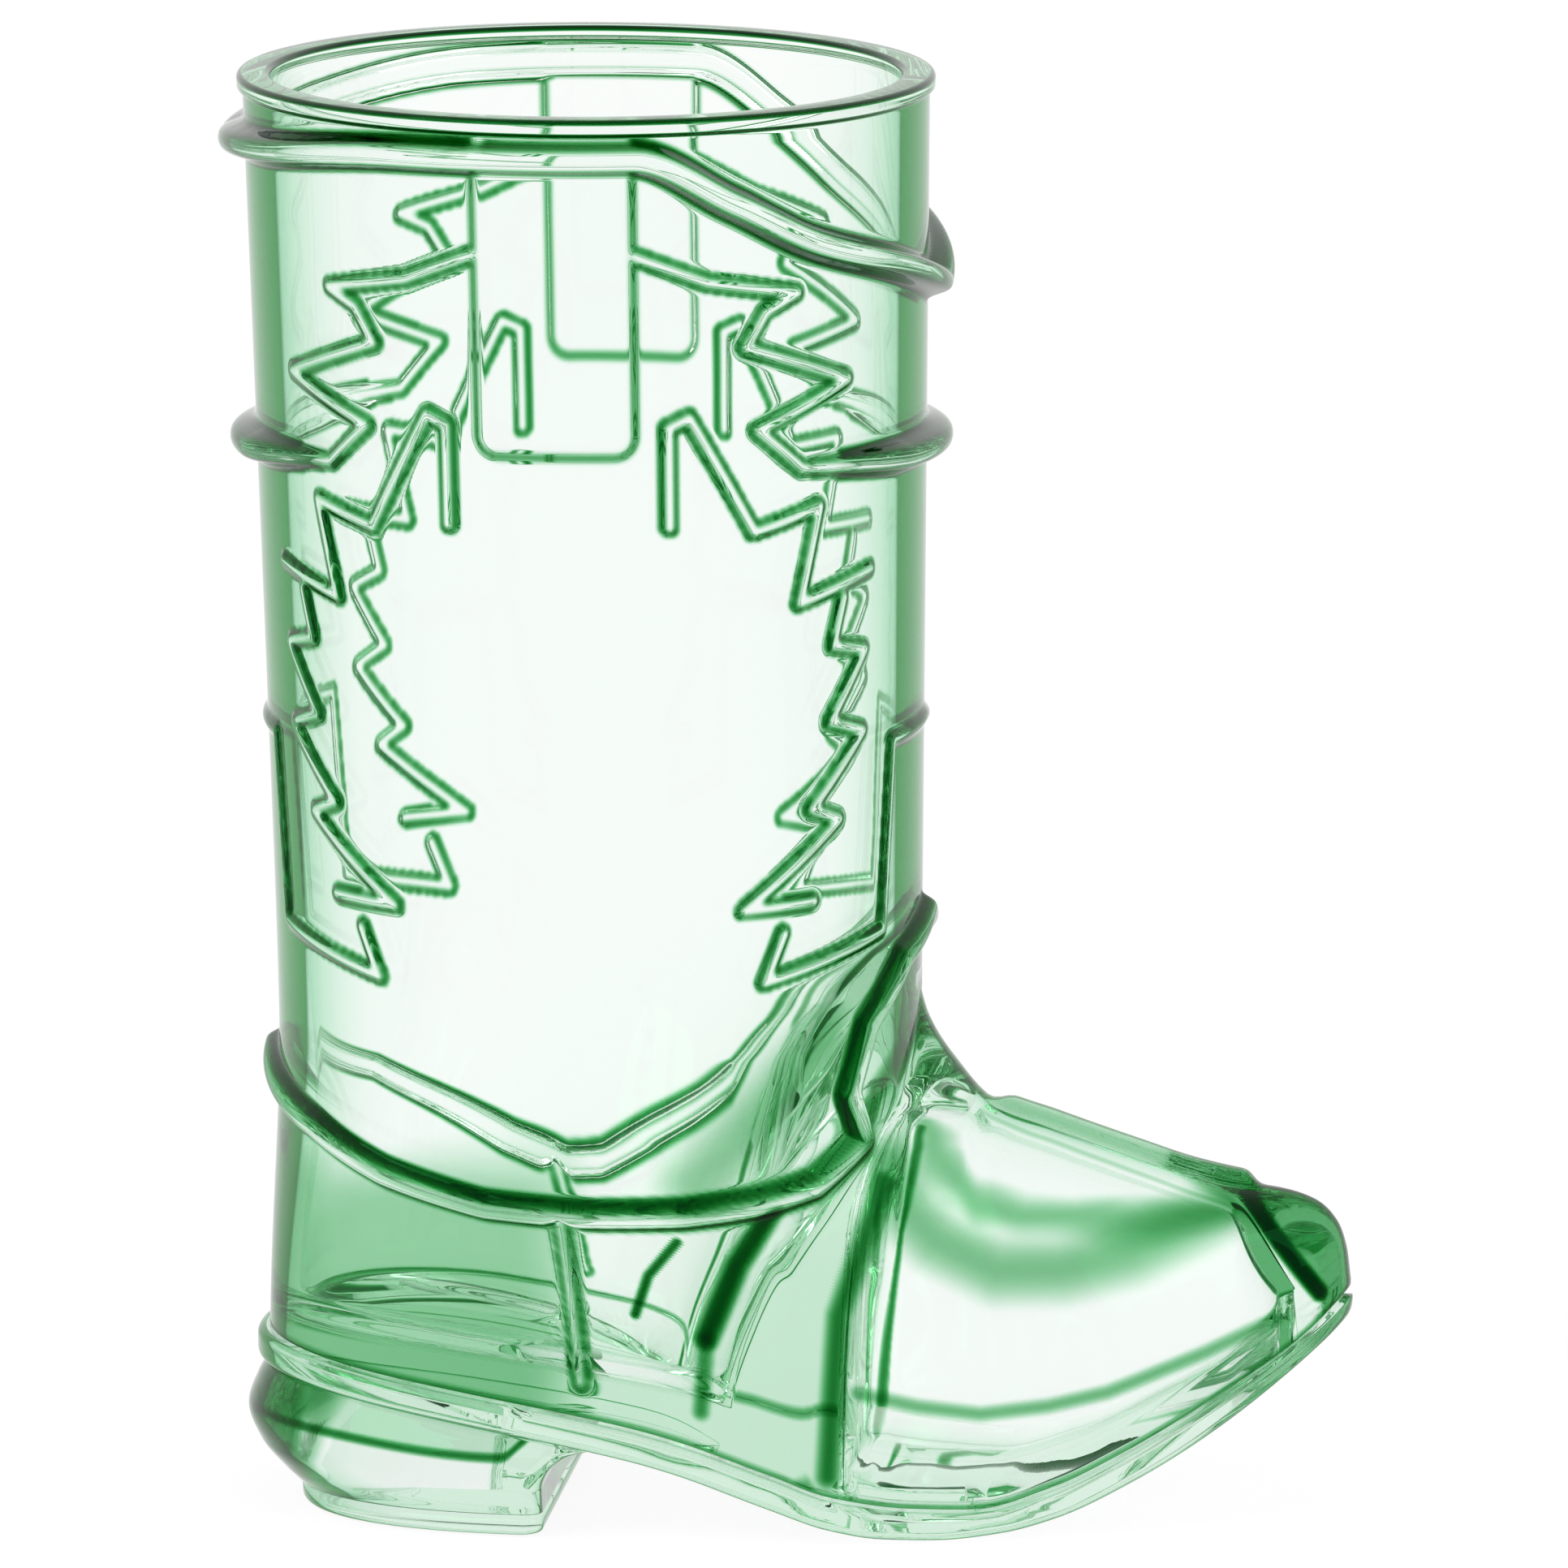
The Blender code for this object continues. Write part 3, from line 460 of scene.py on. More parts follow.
def offset_ring(ring, outward):
    """A ring moved outward in plan, square to itself; its heights stay."""
    ahead = np.roll(ring, -1, axis=0) - np.roll(ring, 1, axis=0)
    normal = np.column_stack([ahead[:, 1], -ahead[:, 0]])
    normal /= np.linalg.norm(normal, axis=1)[:, None]
    moved = ring.copy()
    moved[:, :2] += outward * normal
    return moved


def at_height(ring, height):
    """A ring laid on a height: a number, one for each point, or a line that follows the distance ahead."""
    laid = ring.copy()
    laid[:, 2] = height(ring[:, 0]) if callable(height) else height
    return laid


def between(first, last, count, height):
    """Rings that run from one outline to another in plan, laid on a height; both ends are left out."""
    shares = np.linspace(0.0, 1.0, count + 2)[1:-1]
    return [at_height(first + (last - first) * t, height) for t in shares]


def rounded_edge(top, side, steps=5):
    """Rings that turn a corner from one ring to another on a quarter round, both ends left out."""
    turns = np.linspace(0.0, math.pi / 2, steps + 2)[1:-1]
    corner = side.copy()
    corner[:, 2] = top[:, 2]
    return [corner + (top - corner) * (1 - math.sin(a)) + (side - corner) * (1 - math.cos(a)) for a in turns]


def band(first, first_count, second, second_count):
    """Faces between two rings, by the number of their first points; one ring may be the finer one."""
    count = min(first_count, second_count)
    k = np.arange(count)[:, None]
    steps = np.arange(first_count // count + 1)
    low = first + (k * (first_count // count) + steps) % first_count
    steps = np.arange(second_count // count + 1)
    high = second + (k * (second_count // count) + steps) % second_count
    return np.hstack([low[:, :1], high, low[:, :0:-1]]).tolist()


def cap(count):
    """Faces that close a ring straight across in Y."""
    strip = np.arange(1, count // 2 - 1)
    faces = np.column_stack([strip, strip + 1, count - strip - 1, count - strip]).tolist()
    return faces + [[0, 1, count - 1], [count // 2 - 1, count // 2, count // 2 + 1]]


def solid(name, rings, marks):
    """A closed mesh through rings, with named marks on its points, each a list with one entry per ring."""
    counts = [len(ring) for ring in rings]
    starts = np.concatenate([[0], np.cumsum(counts)])
    faces = cap(counts[0])
    for k in range(len(rings) - 1):
        faces += band(starts[k], counts[k], starts[k + 1], counts[k + 1])
    faces += [[starts[-2] + k for k in face[::-1]] for face in cap(counts[-1])]
    points = np.vstack(rings)
    points[:, 0] += LEG_AXIS_X
    mesh = bpy.data.meshes.new(name)
    mesh.from_pydata(points, [], faces)
    mesh.shade_smooth()
    for mark_name, values in marks.items():
        layer = mesh.attributes.new(mark_name, "FLOAT", "POINT")
        on_points = [np.broadcast_to(value, count) for value, count in zip(values, counts)]
        layer.data.foreach_set("value", np.concatenate(on_points))
    piece = bpy.data.objects.new(name, mesh)
    bpy.context.scene.collection.objects.link(piece)
    return piece


def on_leg(degrees, drop):
    """Points on the leg's near side, by their turn towards the front and their drop below the rim."""
    z = CUP_HEIGHT - drop
    turn = np.radians(degrees)
    radius = leg_radius(z)
    return np.column_stack([leg_centre_x(z) + radius * np.sin(turn), -radius * np.cos(turn), z])


def on_foot(x, z):
    """Points on the near side of the foot or the ankle."""
    y = [leg_side_y(a, b) if b >= INSTEP_Z else float(body_side_y(np.array([a]), foot_level(a, b))[0])
         for a, b in zip(x, z)]
    return np.column_stack([x, -np.array(y), z])


def run_between(points, unit_lengths):
    """Corner points with close points between them, and how far along the corners each one is."""
    points = np.array(points, float)
    out = []
    along = []
    for k, (a, b) in enumerate(zip(points, points[1:])):
        count = max(2, math.ceil(np.linalg.norm((b - a) * unit_lengths) / PATH_STEP))
        t = np.linspace(0.0, 1.0, count)[:, None]
        out.append(a + (b - a) * t)
        along.append(k + t[:, 0])
    return np.vstack(out), np.concatenate(along)


def leg_line(points):
    """A line of the leg's ornament, in close points."""
    line, along = run_between(points, (math.radians(1) * MOUTH_RADIUS, 1.0))
    return line[:, 0], line[:, 1], along


def both_sides(points):
    return np.vstack([points, points * np.array([1, -1, 1])])


class Beads:
    """Raised round beads along lines on the body, each with its radius and how far its middle stands out."""

    def __init__(self):
        self.points = []
        self.radius = []
        self.proud = []

    def add(self, points, radius, proud):
        self.points.append(points)
        self.radius.append(np.broadcast_to(radius, len(points)))
        self.proud.append(np.broadcast_to(proud, len(points)))

    def nearest(self, points):
        """The number of the nearest point of the lines, and its distance."""
        path = np.vstack(self.points)
        tree = kdtree.KDTree(len(path))
        for k, point in enumerate(path):
            tree.insert(point, k)
        tree.balance()
        found = np.array([tree.find(point)[1:] for point in points])
        return found[:, 0].astype(int), found[:, 1]

    def relief(self, points):
        """How far the beads lift each point of the body, and how much it is on the edge of one."""
        radius = np.concatenate(self.radius)
        proud = np.concatenate(self.proud)
        nearest, distance = self.nearest(points)
        crown = np.sqrt(np.clip(radius[nearest] ** 2 - distance ** 2, 0.0, None))
        outside = distance - radius[nearest]
        return (proud[nearest] + crown) * inside_share(outside), edge_share(outside)


def inside_share(distance):
    """1 inside a raised form and 0 outside it, by the distance outside its edge."""
    return smooth_step(0.5 - distance / (2 * RELIEF_EDGE))


def edge_share(distance):
    """1 along the edge of a raised form, and 0 off it."""
    return smooth_step(EDGE_LINE_GAIN * (1 - np.abs(distance) / RELIEF_EDGE))


def leg_beads():
    """The collar, the brow that runs into a strong ring, and the flames, on both sides of the leg."""
    beads = Beads()
    turn = np.linspace(-90, 90, COLLAR_STEPS)
    beads.add(both_sides(on_leg(turn, collar_drop(turn))), STRONG_BEAD, STRONG_BEAD_PROUD)
    for way in (1, -1):
        degrees, drop, along = leg_line(BROW)
        strong = smooth_step((degrees - BROW[-3][0]) / (BROW[-2][0] - BROW[-3][0])) * (along > len(BROW) - 3)
        radius = FLAME_BEAD + (STRONG_BEAD - FLAME_BEAD) * strong
        proud = FLAME_BEAD_PROUD + (STRONG_BEAD_PROUD - FLAME_BEAD_PROUD) * strong
        beads.add(both_sides(on_leg(way * degrees, drop)), np.tile(radius, 2), np.tile(proud, 2))
        for line in (FLAME_TOP, FLAME_MIDDLE, FLAME_FOOT):
            degrees, drop, along = leg_line(line)
            beads.add(both_sides(on_leg(way * degrees, drop)), FLAME_BEAD, FLAME_BEAD_PROUD)
    return beads


def foot_beads():
    """The bead round the ankle and the seam down each side of the foot."""
    beads = Beads()
    for side, ankle, seam in ((1, NEAR_ANKLE_LINE, NEAR_SEAM), (-1, FAR_ANKLE_LINE, FAR_SEAM)):
        flip = np.array([1, side, 1])
        whole = [(-90, ANKLE_BACK_Z)] + ankle + [(90, ANKLE_FRONT_Z)]
        line, along = run_between(whole, (math.radians(1) * ANKLE_RADIUS, 1.0))
        z = line[:, 1]
        x = leg_centre_x(z) + leg_radius(z) * np.sin(np.radians(line[:, 0]))
        beads.add(on_foot(x, z) * flip, ANKLE_BEAD, ANKLE_BEAD_PROUD)
        line, along = run_between(seam, (1.0, 1.0))
        beads.add(on_foot(line[:, 0], line[:, 1]) * flip, SEAM_BEAD, FLAME_BEAD_PROUD)
    return beads


def strap_relief(points):
    """The pull straps: flat raised plates with rounded lower corners."""
    turn = np.arctan2(points[:, 0] - leg_centre_x(points[:, 2]), np.abs(points[:, 1]))
    across = np.abs(turn) * MOUTH_RADIUS - math.radians(STRAP_HALF_ANGLE) * MOUTH_RADIUS
    below = CUP_HEIGHT - STRAP_DROP - points[:, 2]
    corner = np.maximum(np.column_stack([across, below]) + STRAP_CORNER, 0.0)
    outside = np.linalg.norm(corner, axis=1) - STRAP_CORNER
    inside = np.minimum(np.maximum(across, below), 0.0)
    distance = np.where((corner > 0).any(axis=1), outside, inside)
    # The second value is painted shade along the edges of the strap
    return STRAP_PROUD * inside_share(distance), STRAP_LINE * edge_share(distance)


def strip_relief(points):
    """The raised strip along the top of the vamp."""
    ends = np.maximum(STRIP_BACK_X - points[:, 0], points[:, 0] - STRIP_FRONT_X)
    distance = np.maximum(np.abs(points[:, 1]) - VAMP_STRIP, ends)
    on_top = np.abs(points[:, 2] - vamp_z(points[:, 0])) < 2 * VAMP_STRIP
    # The second value is painted shade along the edges of the strip
    return VAMP_STRIP * inside_share(distance) * on_top, STRIP_LINE * edge_share(distance) * on_top


def outward_normals(grid):
    """The outward direction at each point of a grid of rings that run downward."""
    around = np.roll(grid, -1, axis=1) - np.roll(grid, 1, axis=1)
    down = np.gradient(grid, axis=0)
    normal = np.cross(down, around)
    return normal / np.maximum(np.linalg.norm(normal, axis=2), 1e-12)[:, :, None]


def counter_painted_shade(points):
    """Painted shade on the counter: a deeper green that fades upward under the ankle bead and towards the
    arch.
    """
    top = np.where(points[:, 1] < 0, COUNTER_TOP_Z, FAR_COUNTER_TOP_Z)
    below = smooth_step((top - points[:, 2]) / COUNTER_FADE)
    behind = smooth_step((COUNTER_FRONT_X - points[:, 0]) / COUNTER_FADE)
    return COUNTER_PAINTED_SHADE * below * behind


def snip_painted_shade(points):
    """Painted shade on the snip of the toe: full green from its back edge on."""
    back_x = np.interp(points[:, 2], [SNIP_FOOT[1], SNIP_TOP[1]], [SNIP_FOOT[0], SNIP_TOP[0]])
    return SNIP_PAINTED_SHADE * smooth_step((points[:, 0] - back_x) / RELIEF_EDGE)


def streak_painted_shade(points):
    """Painted shade in the foot: streaks of deeper green for inner edges seen through it, and a dark line
    along the welt.
    """
    green = WELT_PAINTED_SHADE * smooth_step(1 - (points[:, 2] - welt_z(points[:, 0])) / WELT_FADE)
    for strength, half_width, sides, line in PAINTED_SHADE_STREAKS:
        path, along = run_between(line, (1.0, 1.0))
        near = on_foot(path[:, 0], path[:, 1])
        streak = Beads()
        streak.add(np.vstack([near * [1, side, 1] for side in sides]), 0.0, 0.0)
        green += strength * smooth_step(1 - streak.nearest(points)[1] / half_width)
    return green


def softened(values):
    """Values on a grid of rings, each one evened with its neighbours."""
    values = (np.roll(values, 1, axis=1) + 2 * values + np.roll(values, -1, axis=1)) / 4
    padded = np.pad(values, ((1, 1), (0, 0)), mode="edge")
    return (padded[:-2] + 2 * values + padded[2:]) / 4


def body_outside():
    """Rings down the outside with the raised ornament, and on them the painted shade and where the edge-on
    green is held back.
    """
    top = CUP_HEIGHT - LIP_HEIGHT - RIM_ROUND
    leg = [leg_ring(z, 0.0) for z in np.linspace(top, INSTEP_Z, LEG_RINGS)]
    foot = [foot_ring(level) for level in np.linspace(1.0, 0.0, FOOT_RINGS + 1)[1:]]
    grid = np.array(leg + foot)
    normal = outward_normals(grid)
    points = grid.reshape(-1, 3)
    lift = np.zeros(len(points))
    line = np.zeros(len(points))
    on_the_leg = points[:, 2] > INSTEP_Z
    low = points[:, 2] < ANKLE_FRONT_Z + FOOT_BEADS_REACH
    forms = [(on_the_leg, strap_relief), (on_the_leg, leg_beads().relief), (low, foot_beads().relief),
             (~on_the_leg, strip_relief)]
    for area, relief in forms:
        height, edge = relief(points[area])
        higher = height > lift[area]
        lift[area] = np.where(higher, height, lift[area])
        line[area] = np.where(higher, edge, line[area])
    lift = softened(softened(lift.reshape(grid.shape[:2])))
    lift[-PLAIN_RINGS:] = 0.0
    line = softened(softened(line.reshape(grid.shape[:2])))
    shade = counter_painted_shade(points) + snip_painted_shade(points)
    shade[~on_the_leg] += streak_painted_shade(points[~on_the_leg])
    # Painted shade: the lines along the edges of the raised forms, the counter, the snip and the foot's
    # streaks
    green = ORNAMENT_EDGE_PAINTED_SHADE * line + shade.reshape(grid.shape[:2])
    held_back = BEAD_HELD_BACK * smooth_step(lift / STRONG_BEAD)
    return list(grid + normal * lift[:, :, None]), list(green), list(held_back)


def rim_rings():
    """Rings over the rim, from inside the wall to the outside under the lip, and the painted shade lines
    along them.
    """
    turns = np.linspace(0.0, math.pi / 2, RIM_RINGS)
    rings = [leg_ring(CUP_HEIGHT - RIM_ROUND * (1 - math.sin(a)), -LEG_WALL + RIM_ROUND * (1 - math.cos(a)))
             for a in turns]
    lines = list(RIM_PAINTED_SHADE * np.sin(2 * turns))
    rings += [leg_ring(CUP_HEIGHT - RIM_ROUND * (1 - math.cos(a)), LIP_PROUD - RIM_ROUND * (1 - math.sin(a)))
              for a in turns]
    lines += list(RIM_PAINTED_SHADE * np.sin(2 * turns))
    low = CUP_HEIGHT - LIP_HEIGHT
    shares = np.linspace(0.0, LIP_LAST_SHARE, LIP_RINGS)
    rings += [leg_ring(low - RIM_ROUND * t, LIP_PROUD * (1 - smooth_step(t))) for t in shares]
    lines += list(RIM_PAINTED_SHADE * np.sin(math.pi * shares))
    return rings, lines


def cavity_rings():
    """Rings up the inside of the drink cavity, from its floor."""
    turns = np.linspace(0.0, math.pi / 2, BOWL_RINGS)
    bowl_share = BOWL_RISE / (CAVITY_TOP_Z - CAVITY_FLOOR[0][1])
    steps = [(bowl_share * (1 - math.cos(a)), 1 - math.sin(a)) for a in turns]
    steps += [(share, 0.0) for share in np.linspace(bowl_share, 1.0, CAVITY_RINGS)[1:]]
    rings = [cavity_ring(share, bowl) for share, bowl in steps]
    shaft = np.linspace(CAVITY_TOP_Z, CUP_HEIGHT - RIM_ROUND, SHAFT_RINGS)[1:-1]
    return rings + [leg_ring(z, -LEG_WALL) for z in shaft]


def hollow_roof_z(x):
    """The hollow's roof, which keeps a wall's thickness under the vamp."""
    return -smooth_max(-hollow_line_z(x), -(vamp_z(x) - TOE_WALL), TOE_WALL / 4)


def hollow_ring(height_share, clearance=0.0):
    """Outline of the toe hollow at a share of its height, drawn in by a clearance."""
    wall = TOE_WALL + clearance
    back = HOLLOW_BACK_X + clearance
    front = HOLLOW_FRONT_X - clearance
    x = stations(back, front)
    side = np.clip(body_side_y(x, 0.0) - wall, 0.0, None)
    corner = np.sqrt(np.clip(1 - np.clip(1 - (x - back) / HOLLOW_CORNER, 0.0, 1.0) ** 2, 0.0, None))
    nose = np.sqrt(np.clip(1 - np.clip(1 - (front - x) / HOLLOW_NOSE, 0.0, 1.0) ** 2, 0.0, None))
    side = (side * nose - HOLLOW_CORNER * (1 - corner)) * np.sqrt(1 - height_share ** HOLLOW_CROWN)
    z = welt_z(x) + height_share * np.clip(hollow_roof_z(x) - welt_z(x), 0.0, None)
    return evened(mirrored(x, side, z))


def boot_body():
    """The leg, foot and toe in one moulding, with its drink cavity and its toe hollow."""
    cavity = cavity_rings()
    rim, rim_painted_shade = rim_rings()
    outside, outside_painted_shade, outside_held_back = body_outside()
    turns = np.linspace(0.0, math.pi / 2, HOLLOW_RINGS)
    below = between(outside[-1], hollow_ring(0.0), FLAT_RINGS, welt_z)
    below += [hollow_ring(HOLLOW_TOP_SHARE * math.sin(a)) for a in turns]
    rings = [ring[::COARSE] for ring in cavity + rim] + outside + [ring[::COARSE] for ring in below]
    # The mark green carries the painted shade of the rim and the outside
    green = [0.0] * len(cavity) + rim_painted_shade + outside_painted_shade + [0.0] * len(below)
    held_back = [1.0] * len(cavity + rim) + outside_held_back + [1.0] * len(below)
    return solid("boot_body_moulding", rings, {"green": green, "held_back": held_back})


def sole_outline(outward):
    """The outsole's edge in plan: the body's outline at the welt, with a ledge that runs out at the toe."""
    welt = foot_ring(0.0)
    at_toe = smooth_step((welt[:, 0] - TOE_LEDGE_X) / TOE_LEDGE_RUN)
    ledge = WELT_LEDGE + (TOE_LEDGE - WELT_LEDGE) * at_toe
    return offset_ring(welt, (ledge + outward)[:, None])


def sole_top(x):
    return welt_z(x) - JOINT_GAP


def heel_ring(outward, breast_x, tuck=0.0):
    """Outline of the heel in plan: round behind, straight across the breast, and tucked in at the back."""
    edge = sole_outline(outward)
    near = edge[:AROUND // 2 + 1]
    x = stations(edge[:, 0].min(), breast_x)
    side = np.interp(x, near[:, 0], -near[:, 1])
    corner = np.clip((x - breast_x) / HEEL_CORNER + 1, 0.0, 1.0)
    side -= HEEL_CORNER * (1 - np.sqrt(1 - corner ** 2))
    x = breast_x + (x - breast_x) * (1 - tuck / (breast_x - x[0]))
    return evened(mirrored(x, side, np.zeros_like(x)))


def heel_pocket_ring(clearance):
    """The pocket that cores the heel block from above."""
    return heel_ring(-HEEL_WALL - clearance, HEEL_BREAST_X - HEEL_WALL - clearance)


def outsole():
    """The sole plate, with a plug up into the toe hollow and one down into the heel block's pocket."""
    outline = sole_outline(0.0)
    drawn_in = sole_outline(-SOLE_EDGE_ROUND)
    toe_plug = hollow_ring(0.0, JOINT_GAP)
    heel_plug = heel_pocket_ring(JOINT_GAP)
    top_edge = at_height(outline, lambda x: sole_top(x) - SOLE_EDGE_ROUND)
    low_edge = at_height(outline, lambda x: sole_z(x) + SOLE_EDGE_ROUND)
    top = [at_height(toe_plug, lambda x: welt_z(x) + TOE_PLUG_HEIGHT), at_height(toe_plug, sole_top)]
    top += between(toe_plug, drawn_in, FLAT_RINGS, sole_top) + [at_height(drawn_in, sole_top)]
    bottom = at_height(drawn_in, sole_z)
    edge = rounded_edge(top[-1], top_edge) + [top_edge, low_edge] + rounded_edge(bottom, low_edge)[::-1]
    under = [bottom] + between(drawn_in, heel_plug, FLAT_RINGS, sole_z)
    under += [at_height(heel_plug, sole_z), at_height(heel_plug, lambda x: sole_z(x) - HEEL_PLUG_HEIGHT)]
    rings = [ring[::COARSE] for ring in top + edge + under]
    held_back = [1.0] * len(top) + [0.0] * len(edge) + [1.0] * len(under)
    return solid("outsole_moulding", rings, {"held_back": held_back})


def heel_top(x):
    return sole_z(x) - JOINT_GAP


def heel_painted_shade(points):
    """Painted shade on the heel: deeper green at its back, the plug as its sides show it, and a dark line
    under it.
    """
    back = HEEL_BACK_PAINTED_SHADE * smooth_step((HEEL_BACK_X - points[:, 0]) / HEEL_BACK_FADE)
    above = (points[:, 2] - heel_line_z(points[:, 0])) / HEEL_LINE_FADE
    plug = HEEL_PLUG_PAINTED_SHADE * smooth_step(above + 0.5)
    return back + plug + HEEL_LINE_PAINTED_SHADE * smooth_step(1 - np.abs(above))


def heel_block():
    """The hollow heel, bulging a little behind and drawn in towards the ground."""
    bottom = LIFT_THICKNESS + JOINT_GAP
    profile = np.array(HEEL_PROFILE[::-1])
    outward_at, ahead_at, tuck_at = (curve_through(profile[:, [0, k]]) for k in (1, 2, 3))
    pocket = heel_pocket_ring(0.0)[::COARSE]
    rings = [at_height(pocket, HEEL_POCKET_FLOOR), at_height(pocket, heel_top)]
    for share in np.linspace(1.0, 0.0, HEEL_RINGS):
        ring = heel_ring(outward_at(share), HEEL_BREAST_X + ahead_at(share), tuck_at(share))
        rings.append(at_height(ring, bottom + share * (heel_top(ring[:, 0]) - bottom)))
    # The mark green carries the heel's painted shade, none on the pocket
    green = [0.0, 0.0] + [heel_painted_shade(ring) for ring in rings[2:]]
    held_back = [1.0, 1.0] + [0.0] * len(rings[2:])
    return solid("heel_block_moulding", rings, {"green": green, "held_back": held_back})


def heel_lift():
    """The thin wear plate under the heel."""
    share, outward, ahead, tuck = HEEL_PROFILE[-1]
    outward -= LIFT_EDGE_ROUND / 2
    edge = heel_ring(outward, HEEL_BREAST_X, tuck)
    drawn_in = heel_ring(outward - LIFT_EDGE_ROUND, HEEL_BREAST_X - LIFT_EDGE_ROUND, tuck)
    high = at_height(edge, LIFT_THICKNESS)
    side = at_height(edge, LIFT_EDGE_ROUND)
    low = at_height(drawn_in, 0.0)
    rings = [ring[::COARSE] for ring in [high, side] + rounded_edge(low, side)[::-1] + [low]]
    held_back = [1.0] + [0.0] * (len(rings) - 1)
    return solid("heel_lift_plate", rings, {"held_back": held_back})


def blended(nodes, link, kind, first, second):
    """One value worked out from two, each of them an output or a plain number."""
    step = nodes.new("ShaderNodeMath")
    step.operation = kind
    for socket, value in zip(step.inputs, (first, second)):
        if isinstance(value, (int, float)):
            socket.default_value = value
        else:
            link(value, socket)
    return step.outputs["Value"]


def mark(nodes, name):
    """The value of one of the marks on the mesh."""
    node = nodes.new("ShaderNodeAttribute")
    node.attribute_name = name
    return node.outputs["Fac"]


def edge_on_green(nodes, link):
    """Green by how far a surface is turned away, some of it held back where the mesh is marked so."""
    facing = nodes.new("ShaderNodeLayerWeight")
    facing.inputs["Blend"].default_value = 0.5
    held_back = blended(nodes, link, "MULTIPLY", mark(nodes, "held_back"), INSIDE_HELD_BACK)
    share = blended(nodes, link, "SUBTRACT", 1.0, held_back)
    ramp = nodes.new("ShaderNodeValToRGB")
    stops = ramp.color_ramp.elements
    while len(stops) < len(EDGE_GREEN):
        stops.new(1.0)
    for stop, (position, colour) in zip(stops, EDGE_GREEN):
        stop.position = position
        stop.color = (*colour, 1.0)
    link(blended(nodes, link, "MULTIPLY", facing.outputs["Facing"], share), ramp.inputs["Fac"])
    return ramp.outputs["Color"]


def marked_painted_shade(nodes, link):
    """Painted shade: green that is as deep as the mesh is marked, and clear where it isn't."""
    deep = nodes.new("ShaderNodeGamma")
    deep.inputs["Color"].default_value = (*PAINTED_SHADE_GREEN, 1.0)
    link(mark(nodes, "green"), deep.inputs["Gamma"])
    return deep.outputs["Color"]


def moulded_face(nodes, link, shader, roughness):
    """Gloss that is slightly uneven from patch to patch, with faint waves."""
    place = nodes.new("ShaderNodeTexCoord")
    noise = nodes.new("ShaderNodeTexNoise")
    noise.inputs["Scale"].default_value = PATCH_SCALE
    link(place.outputs["Object"], noise.inputs["Vector"])
    spread = nodes.new("ShaderNodeMapRange")
    spread.inputs["To Min"].default_value = roughness * (1 - ROUGHNESS_SPREAD)
    spread.inputs["To Max"].default_value = roughness * (1 + ROUGHNESS_SPREAD)
    link(noise.outputs["Fac"], spread.inputs["Value"])
    link(spread.outputs["Result"], shader.inputs["Roughness"])
    waves = nodes.new("ShaderNodeBump")
    waves.inputs["Strength"].default_value = WAVE_STRENGTH
    waves.inputs["Distance"].default_value = WAVE_HEIGHT
    link(noise.outputs["Fac"], waves.inputs["Height"])
    link(waves.outputs["Normal"], shader.inputs["Normal"])


def clear_plastic(name, density, roughness):
    """See-through tinted plastic: clear inside, deeper green where it is seen edge on, and painted shade
    where it is marked.
    """
    material = bpy.data.materials.new(name)
    material.use_nodes = True
    nodes = material.node_tree.nodes
    link = material.node_tree.links.new
    shader = nodes["Principled BSDF"]
    shader.inputs["Transmission Weight"].default_value = 1.0
    shader.inputs["IOR"].default_value = PLASTIC_IOR
    shader.inputs["Specular Tint"].default_value = (*GLOSS_GREEN, 1.0)
    both = nodes.new("ShaderNodeMix")
    both.data_type = "RGBA"
    both.blend_type = "MULTIPLY"
    both.inputs["Factor"].default_value = 1.0
    link(edge_on_green(nodes, link), both.inputs["A"])
    link(marked_painted_shade(nodes, link), both.inputs["B"])
    link(both.outputs["Result"], shader.inputs["Base Color"])
    moulded_face(nodes, link, shader, roughness)
    absorption = nodes.new("ShaderNodeVolumeAbsorption")
    absorption.inputs["Color"].default_value = (*DEPTH_GREEN, 1.0)
    absorption.inputs["Density"].default_value = density
    link(absorption.outputs["Volume"], nodes["Material Output"].inputs["Volume"])
    return material


def seen_directly(nodes, link):
    """1 for rays from the camera, through clear plastic or mirrored by it, and 0 for other rays."""
    path = nodes.new("ShaderNodeLightPath").outputs
    clear = blended(nodes, link, "MAXIMUM", path["Is Camera Ray"], path["Is Transmission Ray"])
    return blended(nodes, link, "MAXIMUM", clear, path["Is Glossy Ray"])


def white_world():
    """A white studio: full white where it is seen, and a plain soft light elsewhere."""
    world = bpy.data.worlds.new("studio")
    bpy.context.scene.world = world
    world.use_nodes = True
    nodes = world.node_tree.nodes
    link = world.node_tree.links.new
    shade = nodes["Background"]
    shade.inputs["Color"].default_value = (1.0, 1.0, 1.0, 1.0)
    level = nodes.new("ShaderNodeMapRange")
    level.inputs["To Min"].default_value = WORLD_LIGHT
    level.inputs["To Max"].default_value = 1.0
    link(seen_directly(nodes, link), level.inputs["Value"])
    link(level.outputs["Result"], shade.inputs["Strength"])


